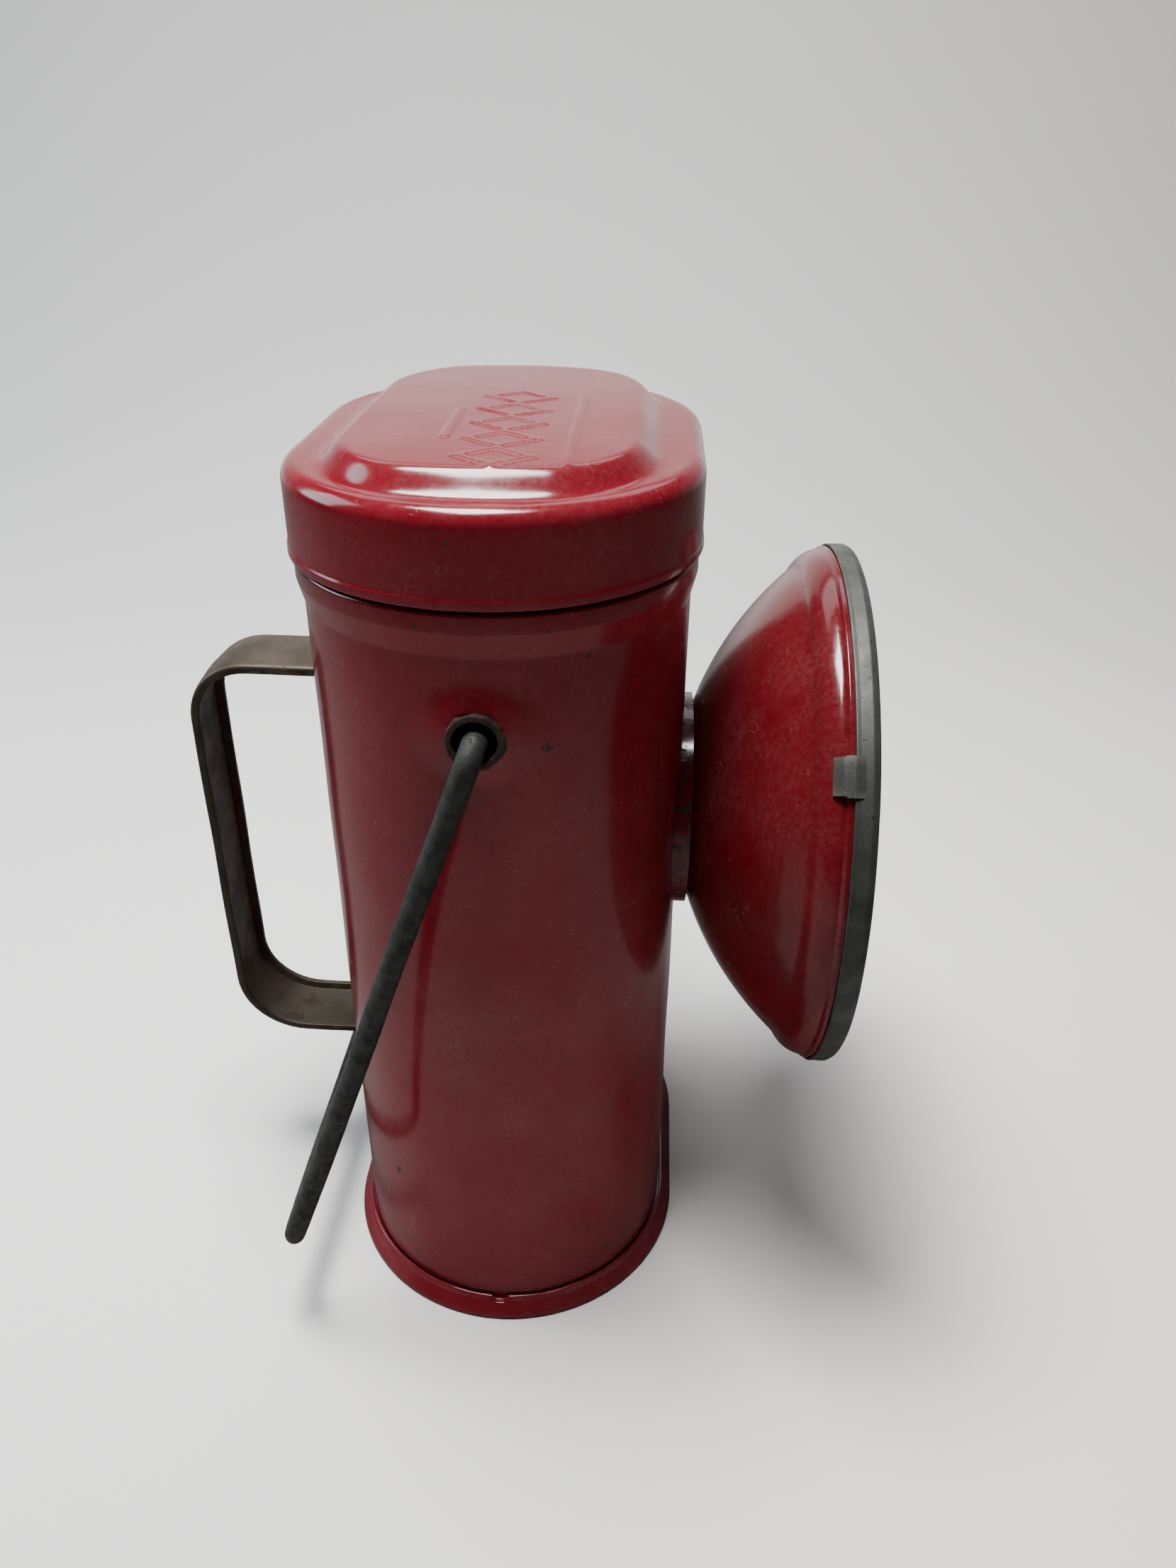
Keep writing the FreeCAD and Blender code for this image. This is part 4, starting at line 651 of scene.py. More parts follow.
@dataclass(frozen=True)
class DullPlate:
    """Zinc, tin or nickel plate gone dull, with clouds, pits and rubbed or stained patches."""

    name: str
    light: Colour
    dark: Colour
    stain: Colour = (0.10, 0.075, 0.05)
    rough: float = 0.42
    stain_start: float = 0.62
    clouds: float = 0.12
    grain_depth: float = 0.03
    metallic: float = 0.85

    def material(self) -> bpy.types.Material:
        """Builds the material."""
        look = Surface(self.name)
        mottle = look.effect(Effect.MOTTLE, Clouds=self.clouds, Grain=1.6)
        base = look.blend(mottle.outputs["Clouds"], rgba(self.dark), rgba(self.light))
        stain = look.spread(look.noise(look.place, 0.06, 6.0, 0.7), self.stain_start, self.stain_start + 0.12)
        base = look.blend(stain, base, rgba(self.stain))
        pits = mottle.outputs["Pits"]
        base = look.tint(base, pits, 0.8, shade(self.dark, 0.35))
        edges = look.mask(Effect.EDGE_WEAR, Start=0.53, Reach=0.05, Break=0.42)
        base = look.tint(base, edges, 0.6, shade(self.light, 1.5))
        scratches = look.mask(Effect.SCRATCHES, Amount=0.55, Width=0.014)
        base = look.tint(base, scratches, 0.3, rgba(self.light))
        rough = look.spread(mottle.outputs["Clouds"], 0.0, 1.0, self.rough + 0.16, self.rough - 0.06)
        rough = look.largest(rough, look.times(stain, 0.8))
        metal = look.times(look.minus(1.0, look.times(stain, 0.7)), self.metallic)
        relief = look.minus(mottle.outputs["Grain"], look.times(pits, 0.7))
        look.bump(relief, self.grain_depth)
        look.set(Base_Color=base, Roughness=rough, Metallic=metal)
        return look.material


@dataclass(frozen=True)
class PlainStuff:
    """Matt or moulded stuff with a fine grain: bakelite, pitch, card, fibre, felt, wood."""

    name: str
    light: Colour
    dark: Colour
    rough: float = 0.6
    grain: float = 1.2
    depth: float = 0.04
    stretch: tuple = (1.0, 1.0, 1.0)

    def material(self) -> bpy.types.Material:
        """Builds the material."""
        look = Surface(self.name)
        place = look.moved(look.place, self.stretch)
        grain = look.noise(place, self.grain, 6.0, 0.62)
        slow = look.mask(Effect.DUST, Size=0.05, Fine=0.5)
        share = look.maths("ADD", look.spread(grain, 0.35, 0.65, 0.0, 0.7), look.times(slow, 0.4), clamp=True)
        base = look.blend(share, rgba(self.light), rgba(self.dark))
        edges = look.mask(Effect.EDGE_WEAR, Start=0.54, Reach=0.05, Break=0.5)
        base = look.tint(base, edges, 0.25, shade(self.light, 2.0, 0.02))
        rough = look.spread(slow, 0.0, 1.0, self.rough, min(self.rough + 0.2, 0.95))
        look.bump(grain, self.depth)
        look.set(Base_Color=base, Roughness=rough)
        return look.material


@dataclass(frozen=True)
class SilverMirror:
    """Silvered reflector with a light haze and a few spots."""

    name: str

    def material(self) -> bpy.types.Material:
        """Builds the material."""
        look = Surface(self.name)
        haze = look.mask(Effect.DUST, Size=0.06, Fine=0.5)
        spots = look.mask(Effect.CHIPS, Spacing=0.2, Size=0.09, Amount=0.12)
        base = look.tint(rgba((0.90, 0.90, 0.88)), haze, 0.5, rgba((0.70, 0.66, 0.58)))
        base = look.tint(base, spots, 0.6, rgba((0.20, 0.17, 0.13)))
        rough = look.largest(look.spread(haze, 0.0, 1.0, 0.05, 0.22), look.times(spots, 0.5))
        look.bump(look.mask(Effect.RIPPLE, Size=0.2), 0.02)
        look.set(Base_Color=base, Roughness=rough, Metallic=1.0)
        return look.material


@dataclass(frozen=True)
class ClearGlass:
    """Clear glass with a faint film on its face."""

    name: str
    tint: Colour
    ripple: float = 0.02

    def material(self) -> bpy.types.Material:
        """Builds the material."""
        look = Surface(self.name)
        film = look.mask(Effect.DUST, Size=0.05, Fine=0.5)
        scratches = look.mask(Effect.SCRATCHES, Amount=0.45, Width=0.008)
        rough = look.largest(look.spread(film, 0.2, 1.0, 0.0, 0.07), look.times(scratches, 0.25))
        look.bump(look.mask(Effect.RIPPLE, Size=0.12), self.ripple)
        base = look.tint(rgba(self.tint), film, 0.25, rgba((0.86, 0.84, 0.78)))
        look.set(Base_Color=base, Roughness=rough, Transmission_Weight=1.0, IOR=1.5, Metallic=0.0)
        return look.material


def dirt_and_shade_seam_line(level: float, half: float) -> Callable[[Surface], object]:
    """Dark ragged line round the case at one height: painted shade where the seam's gap falls dark, with dirt
    and lost coat at the seam.

    Args:
        level: height of the line.
        half: half its width.

    Returns:
        A function that adds the line's mask to a surface.
    """

    def mask(look: Surface) -> object:
        """Adds the line's mask to a surface."""
        rag = look.spread(look.noise(look.place, 0.5, 5.0, 0.7), 0.2, 0.8, -half, half)
        off = look.maths("ABSOLUTE", look.minus(look.plus(look.level(), rag), level))
        return look.spread(off, half * 0.6, half, 1.0, 0.0)

    return mask


class Finish(Enum):
    """Every finish on the lantern."""

    # dark lines at the foot seam and at the lid's hem: painted shade of the gaps there, with dirt and lost
    # coat
    CASE = Enamel(
        "case_enamel", (0.135, 0.0024, 0.0088), seam_dirt_and_shade_lines=(dirt_and_shade_seam_line(5.35, 0.22), dirt_and_shade_seam_line(169.9, 0.3)))
    LID = Enamel(
        "lid_enamel", (0.13, 0.0022, 0.0085), rough=0.15, gloss=0.0, chip_amount=0.08, wear_start=0.57)
    FOOT = Enamel("foot_enamel", (0.130, 0.0055, 0.0115), chip_amount=0.18, wear_start=0.55)
    BOWL = Enamel("bowl_enamel", (0.082, 0.0009, 0.0040), rough=0.15, chip_amount=0.06)
    RING = DullPlate(
        "zinc_plate", (0.090, 0.094, 0.083), (0.042, 0.045, 0.040), (0.05, 0.043, 0.032), 0.44,
        metallic=0.6)
    STRAP = DullPlate(
        "tinned_strap", (0.060, 0.053, 0.036), (0.044, 0.031, 0.022), (0.032, 0.019, 0.012), 0.40, 0.50,
        metallic=0.75)
    WIRE = DullPlate(
        "rough_wire", (0.034, 0.035, 0.031), (0.010, 0.0105, 0.009), (0.024, 0.016, 0.010), 0.6,
        clouds=0.4, grain_depth=0.09, metallic=0.3)
    EYELET = DullPlate(
        "blackened_eyelet", (0.030, 0.022, 0.017), (0.012, 0.010, 0.009), (0.05, 0.02, 0.01), 0.7, 0.45,
        metallic=0.3)
    BRASS = DullPlate(
        "dull_brass", (0.62, 0.43, 0.17), (0.36, 0.23, 0.09), (0.12, 0.08, 0.04), 0.32, 0.66)
    ZINC = DullPlate("battery_zinc", (0.52, 0.53, 0.54), (0.32, 0.33, 0.34))
    MIRROR = SilverMirror("silvered_reflector")
    LENS = ClearGlass("lens_glass", (0.95, 0.98, 0.96))
    LAMP_GLASS = ClearGlass("lamp_glass", (0.98, 0.98, 0.96), 0.005)
    GASKET = PlainStuff("black_gasket", (0.035, 0.032, 0.03), (0.018, 0.016, 0.015), 0.8)
    BAKELITE = PlainStuff("black_bakelite", (0.022, 0.020, 0.018), (0.012, 0.010, 0.009), 0.28, 0.6, 0.01)
    CARD = PlainStuff("card_jacket", (0.42, 0.32, 0.20), (0.28, 0.20, 0.12), 0.8, 0.8, 0.05, (1, 1, 0.3))
    PITCH = PlainStuff("black_pitch", (0.020, 0.018, 0.017), (0.010, 0.009, 0.009), 0.3, 0.25, 0.25)
    CARBON = PlainStuff("black_carbon", (0.035, 0.035, 0.036), (0.016, 0.016, 0.017), 0.7)
    FIBRE = PlainStuff("fibre_board", (0.24, 0.10, 0.06), (0.15, 0.06, 0.035), 0.65, 2.0, 0.03)
    PINE = PlainStuff("sawn_pine", (0.60, 0.43, 0.24), (0.42, 0.27, 0.13), 0.75, 0.5, 0.08, (1, 1, 0.06))
    FILAMENT = DullPlate("dark_wire", (0.16, 0.16, 0.17), (0.08, 0.08, 0.09), rough=0.4)

    def material(self) -> bpy.types.Material:
        """The finish's material, built once."""
        found = bpy.data.materials.get(self.value.name + "_look")
        return found or self.value.material()


def dress(piece: bpy.types.Object, finish: Finish) -> None:
    """Gives a piece one finish all over."""
    piece.data.materials.clear()
    piece.data.materials.append(finish.material())


def dress_node(node: str, finish: Finish) -> None:
    """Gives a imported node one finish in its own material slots."""
    carried = frame["nodes"][node]
    for slot in carried.material_slots:
        slot.material = finish.material()
    LOG.info("node %s: %s", node, finish.value.name)


def fit(piece: bpy.types.Object, body: str, slot: str, finish: Finish, *nodes: str) -> bpy.types.Object:
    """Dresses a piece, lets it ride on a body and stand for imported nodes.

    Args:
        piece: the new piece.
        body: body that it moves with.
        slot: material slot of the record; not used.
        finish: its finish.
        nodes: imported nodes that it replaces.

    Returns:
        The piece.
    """
    dress(piece, finish)
    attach(piece, body)
    if nodes:
        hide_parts(*nodes)
    LOG.info("piece %s: %d faces, %s", piece.name, len(piece.data.polygons), finish.value.name)
    return piece


# ---------------------------------------------------------------- sub-assemblies


def pivot_height() -> float:
    """Height of the bail's pivot line, in millimetres."""
    hinge = next(joint for joint in frame["joints"] if joint["name"] == "bail_hinge")
    return hinge["pos_m"][2] / MM


@dataclass
class Case:
    """Case tube with its bead and pressed bosses, the flared foot and the two eyelets."""

    half_width: float = 35.5
    half_length: float = 50.0
    wall: float = 0.8
    points: int = 288
    boss_tip: float = 52.0
    boss_curve: float = 14.3
    boss_blend: float = 1.6
    boss_radius: float = 14.0
    hole: float = 4.7
    hole_points: int = 48
    cutter_past: float = 9.0
    wave: float = 0.16
    eyelet_points: int = 64
    notch_half: float = 1.3
    notch_fade: float = 0.4
    notch_depth: float = 1.1

    @property
    def plan(self) -> Stadium:
        """The case in plan."""
        return Stadium(self.half_width, self.half_length)

    def outline(self) -> list[Pair]:
        """Outside of the wall from the foot to the mouth, as (offset, height) pairs."""
        low = node_box("body_shell")[0].z
        mouth = node_box("body_shell")[1].z
        lid = node_box("lid_cap")[0].z
        pivot = pivot_height()
        start = pivot - self.boss_radius
        lower = spaced([(0, low), (0, start)], 6.0)
        middle = spaced([(0, start), (0, pivot + 13)], 0.9)
        bead = rounded([
            (0, pivot + 13), (0, lid - 8.7, 3.0), (1.15, lid - 4.2, 1.6), (1.15, lid - 0.8, 0.7),
            (0.45, lid - 0.75, 0.2), (0.3, lid + 0.4, 0.4), (0, lid + 2), (0, mouth - 1.7, 0.3),
            (0.6, mouth - 1.5, 0.3), (0.6, mouth, 0.5), (-self.wall * 0.5, mouth),
        ])
        return lower + middle[1:] + bead[1:]

    def pressed(self, point: Vector, depth: float) -> Vector:
        """Moves a wall point out where the boss is pressed, and gives the sheet its slow waves."""
        across = Vector((point.x, point.z - pivot_height()))
        tip = self.boss_tip - depth
        side, push = math.copysign(1.0, point.y), abs(point.y)
        if across.length < self.boss_radius:
            dome = tip - across.length_squared / (2 * self.boss_curve)
            push = smooth_max(push, dome, self.boss_blend)
        moved = Vector((point.x, push * side, point.z))
        out = Vector((point.x, max(abs(point.y) - self.plan.reach, 0.0) * side, 0)).normalized()
        return moved + out * wobble(point, 26.0, self.wave, 3.0)

    def build_wall(self) -> bpy.types.Object:
        """Tube of the case, open at both ends, with a hole through each boss."""
        outside = self.outline()
        upward = spaced([(-self.wall, outside[0][1]), (-self.wall, outside[-1][1] - 0.3)], 3.0)
        inside = upward[::-1]
        rings = []
        for offset, z in outside + inside:
            depth = self.wall if offset == -self.wall else 0.0
            rings.append([self.pressed(point, depth) for point in self.plan.ring(offset, z, self.points)])
        wall = loft("case_tube", rings, joined=True)
        cutter = self.hole_cutter()
        cut = wall.modifiers.new("holes", "BOOLEAN")
        cut.object = cutter
        cut.operation = "DIFFERENCE"
        cut.solver = "EXACT"
        apply_modifiers(wall)
        bpy.data.objects.remove(cutter)
        return fit(wall, "root", "red_enamel", Finish.CASE, "body_shell")

    def hole_cutter(self) -> bpy.types.Object:
        """Bar through both bosses that cuts their holes."""
        pivot = Vector((0, 0, pivot_height()))
        end = self.half_length + self.cutter_past
        profile = [(-end, self.hole), (end, self.hole)]
        rings = turned_rings(profile, pivot, self.hole_points, Axis.Y)
        return loft("hole_cutter", rings, capped=True)

    def build_foot(self) -> bpy.types.Object:
        """Floor and flared foot, with a lip round the case and a notch in it at the near end."""
        flare = node_box("base_pan")[1].x - self.half_width
        top = node_box("base_pan")[1].z
        section = rounded([
            (0.25, 3.5), (0.3, top - 0.35, 0.1), (0.45, top, 0.2), (0.95, top - 0.05, 0.35),
            (1.5, top - 1.2, 3.0), (flare - 0.1, 1.35, 0.5), (flare, 0.35, 0.3), (flare - 0.35, 0, 0.3),
            (flare - 1.3, 0, 0.3),
            (flare - 1.6, 0.5, 0.4), (flare - 1.7, 2.5),
        ])
        rings = []
        for offset, z in section:
            ring = self.plan.ring(offset, z, self.points)
            rings.append([self.notched(point, z, top) for point in ring])
        work = bmesh.new()
        add_loft(work, rings)
        for edge_z, offset in ((3.5, 0.25), (2.5, flare - 1.7)):
            ring = self.plan.ring(offset, edge_z, self.points)
            work.faces.new([work.verts.new(point) for point in ring])
        foot = finish_mesh("flared_foot", work)
        return fit(foot, "root", "red_enamel", Finish.FOOT, "base_pan")

    def notched(self, point: Vector, z: float, top: float) -> Vector:
        """Lowers the lip inside the notch and gives it an uneven edge."""
        lip = smooth_step(top - 1.6, top - 0.2, z)
        low, high = self.notch_half - self.notch_fade, self.notch_half + self.notch_fade
        inside = 1 - smooth_step(low, high, abs(point.x)) if point.y < 0 else 0.0
        uneven = wobble(point, 7.0, 0.22, 8.0)
        return Vector((point.x, point.y, z - lip * (inside * self.notch_depth - uneven)))

    def build_eyelets(self) -> None:
        """Blackened eyelet pressed into each boss, its rolled edge a little ragged."""
        work = bmesh.new()
        tip = self.boss_tip
        section = rounded([
            (tip + 0.15, 3.8, 0.4), (tip + 0.1, 5.05, 0.3), (tip - 1.2, 5.1, 0.2), (tip - 1.3, 4.6, 0.2),
            (tip - 3.0, 4.6, 0.2), (tip - 3.2, 7.0, 0.2), (tip - 3.8, 7.0, 0.2), (tip - 3.8, 3.7, 0.3),
        ], closed=True)
        for side in (-1, 1):

            def ragged(_: int, spoke: Vector, radius: float, side: int = side) -> float:
                """Radius of the rolled edge, uneven, and of the rest, plain."""
                rolled = 5 < radius < 6
                return radius + (noise.noise(spoke * 3.5 + Vector((side, 0, 0))) * 0.45 if rolled else 0.0)

            turned = [(along * side, radius) for along, radius in section]
            pivot = Vector((0, 0, pivot_height()))
            add_loft(work, turned_rings(turned, pivot, self.eyelet_points, Axis.Y, ragged), joined=True)
        fit(finish_mesh("bail_eyelet_rings", work), "root", "dark_eyelet", Finish.EYELET, "bail_eyelets")

    def build(self) -> None:
        """Builds every piece of the case."""
        self.build_wall()
        self.build_foot()
        self.build_eyelets()


def apply_modifiers(piece: bpy.types.Object) -> None:
    """Replaces a piece's mesh by the one its modifiers give."""
    graph = bpy.context.evaluated_depsgraph_get()
    made = bpy.data.meshes.new_from_object(piece.evaluated_get(graph))
    piece.modifiers.clear()
    old = piece.data
    piece.data = made
    bpy.data.meshes.remove(old)
    made.name = piece.name


@dataclass
class Lid:
    """Lift-off lid: hemmed skirt, round shoulder and a raised, crowned table with a pressed pattern."""

    wall: float = 0.7
    shoulder: float = 3.2
    hem: float = 0.25
    crest_half_width: float = 25.0
    crest_half_length: float = 42.0
    table_rise: float = 3.6
    table_run: float = 4.6
    table_corner: float = 14.0
    table_bow: float = 70.0
    crown: float = 0.9
    spokes: int = 512
    pattern_x: float = 2.5
    pattern_y: float = -15.0
    pattern_height: float = 0.26
    lozenges: int = 5
    lozenge_pitch: float = 10.6
    lozenge_half_x: float = 5.8
    lozenge_half_y: float = 4.7
    ribs: tuple = ((12.0, 24.0), (-9.6, 10.0))
    crown_half: Pair = (34.0, 52.0)
    crest_rings: int = 84
    slope_rings: int = 12
    slope_start: float = 0.94
    shoulder_rings: int = 9
    line: float = 1.05

    def __post_init__(self) -> None:
        """Reads the lid's place from the frame."""
        self.low, self.high = node_box("lid_cap")
        self.plan = Stadium(self.high.x - self.hem, self.high.y - self.hem)

    @property
    def rim(self) -> float:
        """Height of the rim round the table."""
        return self.high.z - self.table_rise

    def table_distance(self, x: float, y: float) -> float:
        """How far a point stands outside the table's top edge."""
        side = abs(x) - (self.crest_half_width - self.table_corner)
        end = math.hypot(x, abs(y) + self.table_bow - self.crest_half_length)
        end -= self.table_bow - self.table_corner
        return math.hypot(max(side, 0.0), max(end, 0.0)) + min(max(side, end), 0.0) - self.table_corner

    def pattern(self, x: float, y: float) -> float:
        """Height of the pressed pattern, from 0 to 1: a row of lozenges between two plain ribs."""
        across, along = x - self.pattern_x, y - self.pattern_y
        far = 99.0
        half_a, half_b = self.lozenge_half_x, self.lozenge_half_y
        for index in range(self.lozenges):
            middle = (index - self.lozenges // 2) * self.lozenge_pitch
            edge = abs(across) * half_b + abs(along - middle) * half_a - half_a * half_b
            far = min(far, abs(edge / math.hypot(half_a, half_b)))
        for rib_x, half in self.ribs:
            far = min(far, math.hypot(across - rib_x, max(abs(along) - half, 0.0)))
        return 1 - smooth_step(self.line * 0.45, self.line * 1.05, far)

    def height(self, x: float, y: float) -> float:
        """Height of the lid's top at a point inside the shoulder."""
        off = self.table_distance(x, y)
        rise = 1 - smooth_step(-0.6, self.table_run + 0.4, off)
        half_x, half_y = self.crown_half
        crown = self.crown * max(0.0, 1 - (x / half_x) ** 2 - (y / half_y) ** 2) * rise
        pressed = self.pattern(x, y) * self.pattern_height if off < 0 else 0.0
        return self.rim + (self.high.z - self.rim) * rise + crown + pressed

    def build(self) -> None:
        """Builds the lid."""
        turns = [2 * math.pi * step / self.spokes for step in range(self.spokes)]
        crest = [ray_reach(self.table_distance, turn, 0.0) for turn in turns]
        foot = [ray_reach(self.table_distance, turn, self.table_run) for turn in turns]
        edge = [ray_reach(self.plan.distance, turn, -self.shoulder) for turn in turns]
        inner = range(1, math.ceil(self.crest_rings * self.slope_start) + 1)
        rings = [self.top_ring(turns, crest, crest, step / self.crest_rings) for step in inner]
        for step in range(self.slope_rings + 1):
            rings.append(self.top_ring(turns, crest, foot, step / self.slope_rings, self.slope_start))
        outer = [max(pair) for pair in zip(edge, foot)]
        rings += [self.top_ring(turns, foot, outer, share, 1.0) for share in (0.5, 1.0)]
        for step in range(1, self.shoulder_rings + 1):
            turn = math.pi / 2 * step / self.shoulder_rings
            inset = self.shoulder * (1 - math.sin(turn))
            drop = self.shoulder * (1 - math.cos(turn))
            rings.append([self.skirt_point(angle, -inset, self.rim - drop) for angle in turns])
        side = rounded([
            (0, self.rim - self.shoulder), (0, self.low.z + 1.9, 0.6), (self.hem, self.low.z + 1.4, 0.3),
            (self.hem, self.low.z, 0.35), (-self.wall, self.low.z, 0.3),
            (-self.wall, self.rim - self.shoulder),
            (-self.wall - 3.4, self.rim - self.wall),
        ])
        for offset, z in spaced(side, 3.0)[1:]:
            rings.append([self.skirt_point(angle, offset, z) for angle in turns])
        work = bmesh.new()
        add_loft(work, rings)
        add_fan(work, rings[0], Vector((0, 0, self.height(0, 0))))
        add_fan(work, rings[-1], Vector((0, 0, self.rim - self.wall)))
        piece = finish_mesh("lid_shell", work, 50.0)
        fit(piece, "lid", "red_enamel", Finish.LID, "lid_cap")
        dress_node("lid_liner", Finish.FIBRE)

    def top_ring(self, turns: list, start: list, end: list, share: float, first: float = 0.0) -> Ring:
        """One ring of the lid's top, between two outlines.

        Args:
            turns: direction of each spoke.
            start: reach of the inner outline, scaled by first.
            end: reach of the outer outline.
            share: how far the ring is from the inner outline to the outer one.
            first: share of the inner outline's reach where the stretch starts.

        Returns:
            The ring.
        """
        ring = []
        for turn, near, far in zip(turns, start, end):
            reach = near * first + (far - near * first) * share
            x, y = reach * math.cos(turn), reach * math.sin(turn)
            z = self.height(x, y)
            ring.append(Vector((x, y, z + wobble(Vector((x, y, 0)), 19.0, 0.14, 5.0))))
        return ring

    def skirt_point(self, turn: float, offset: float, z: float) -> Vector:
        """Point of the shoulder or skirt on one spoke."""
        reach = ray_reach(self.plan.distance, turn, offset)
        point = Vector((reach * math.cos(turn), reach * math.sin(turn), z))
        return point + point.normalized() * wobble(point, 21.0, 0.10, 6.0)


def add_fan(work: bmesh.types.BMesh, ring: Ring, middle: Vector) -> None:
    """Closes a ring with triangles to a middle point."""
    centre = work.verts.new(middle)
    rim = [work.verts.new(point) for point in ring]
    for index, vert in enumerate(rim):
        work.faces.new((vert, rim[(index + 1) % len(rim)], centre))


@dataclass
class Bail:
    """Rough plated wire bail with bent-in ends, and the washers on them."""

    radius: float = 2.2
    pivot_bend: float = 3.6
    corner_bend: float = 6.0
    washer: float = 2.2
    points: int = 20

    def build(self) -> None:
        """Builds the bail at its rest lean."""
        low, high = node_box("bail_rod")
        pivot = Vector((0, 0, pivot_height()))
        corner = Vector((low.x + self.radius, 0, low.z + self.radius))
        drop = (corner - pivot).length
        down = (corner - pivot).normalized()
        leg = high.y - self.radius
        tail = node_box("bail_retainers")[1].y - self.washer
        line = rounded([
            (-tail, 0), (-leg, 0, self.pivot_bend), (-leg, drop, self.corner_bend),
            (leg, drop, self.corner_bend), (leg, 0, self.pivot_bend), (tail, 0),
        ], steps=10)
        path = [pivot + Vector((0, y, 0)) + down * depth for y, depth in spaced(line, 2.0)]
        path = [point + self.bent(point) for point in path]
        side = down.cross(Vector((0, 1, 0))).normalized()
        ends = [path[0]] + path + [path[-1]]
        tip = disc(self.radius * 0.55, self.points)
        sections = [tip, *([disc(self.radius, self.points)] * len(path)), tip]
        rings = sweep_rings(ends, sections, side)
        rings = [[self.roughened(point) for point in ring] for ring in rings]
        fit(loft("bail_wire", rings, 60.0, capped=True), "bail", "grey_wire", Finish.WIRE, "bail_rod")
        dress_node("bail_retainers", Finish.WIRE)

    def bent(self, point: Vector) -> Vector:
        """Slight bends that use leaves in the wire, none of them at the pivots."""
        away = smooth_step(0, 60, pivot_height() - point.z)
        return Vector((wobble(point, 40.0, 0.5, 1.0), 0, 0)) * away

    def roughened(self, point: Vector) -> Vector:
        """Fine lumps of a hot-dipped wire."""
        return point + noise.noise_vector(point / 1.7) * 0.05


@dataclass
class CarryStrap:
    """Tinned strap with rolled edges, bent to a U, with its riveted feet."""

    sheet: float = 1.0
    lip: float = 2.4
    top_bend: float = 13.5
    low_bend: float = 16.0
    foot_half_width: float = 7.0
    foot: float = 15.0
    foot_bend: float = 2.2
    rivet_inset: float = 2.7
    rivet_pitch: float = 6.2

    def section(self, lip_share: float, half: float) -> list[Pair]:
        """Closed section of the strap, with its rolled edges as deep as the share says."""
        lip = self.sheet + (self.lip - self.sheet) * lip_share
        edge = 1.1 * lip_share + 0.35
        crown = 0.35 * lip_share
        corners = [
            (0.0, 0.0), (crown, half - edge), (0.25 + crown, half, edge * 0.55), (lip, half, 0.3),
            (lip, half - 0.9 * lip_share - 0.4, 0.25),
            (self.sheet + 0.1, half - 1.5 * lip_share - 0.6, 0.3), (self.sheet, 0.0),
        ]
        right = rounded(corners, 3)
        left = [(depth, -across) for depth, across in reversed(right[1:-1])]
        return right + left

    def build(self) -> None:
        """Builds the strap and its rivets."""
        low, high = node_box("handle_strap")
        case = high.x
        half = (high.y - low.y) / 2
        line = rounded([
            (case, high.z - self.foot), (case - 0.05, high.z, self.foot_bend),
            (low.x, high.z, self.top_bend), (low.x, low.z, self.low_bend),
            (case - 0.05, low.z, self.foot_bend), (case, low.z + self.foot),
        ], steps=12)
        line = spaced(line, 1.6)
        path, sections = [], []
        for x, z in line:
            away = smooth_step(0.3, 3.0, case - x)
            sway = smooth_step(4.0, 14.0, case - x)
            lateral = noise.noise(Vector((x, z, 0)) / 30) * 0.5 * sway
            path.append(Vector((x + wobble(Vector((x, 0, z)), 24.0, 0.35, 2.0) * sway, lateral, z)))
            sections.append(self.section(away, self.foot_half_width + (half - self.foot_half_width) * away))
        rings = sweep_rings(path, sections, Vector((0, -1, 0)))
        fit(loft("carrying_strap", rings, capped=True), "root", "tinned_strap", Finish.STRAP, "handle_strap")
        self.build_rivets(case)

    def build_rivets(self, case: float) -> None:
        """Domed rivets through the strap's feet, with flat tails inside the case."""
        low, high = node_box("handle_rivets")
        first, last = low.z + self.rivet_inset, high.z - self.rivet_inset
        heights = [first, first + self.rivet_pitch, last - self.rivet_pitch, last]
        work = bmesh.new()
        dome = arc((case - 1.0, 2.9), (case - 2.2, 0.0), 0.5, 6)
        tail = [(high.x, 0.0), (high.x, 2.2), (high.x - 0.9, 2.6), (high.x - 0.9, 1.6), (case - 1.0, 1.6)]
        profile = tail + dome
        for height in heights:
            add_loft(work, turned_rings(profile, Vector((0, 0, height)), 32))
        fit(finish_mesh("strap_rivets", work), "root", "tinned_strap", Finish.STRAP, "handle_rivets")


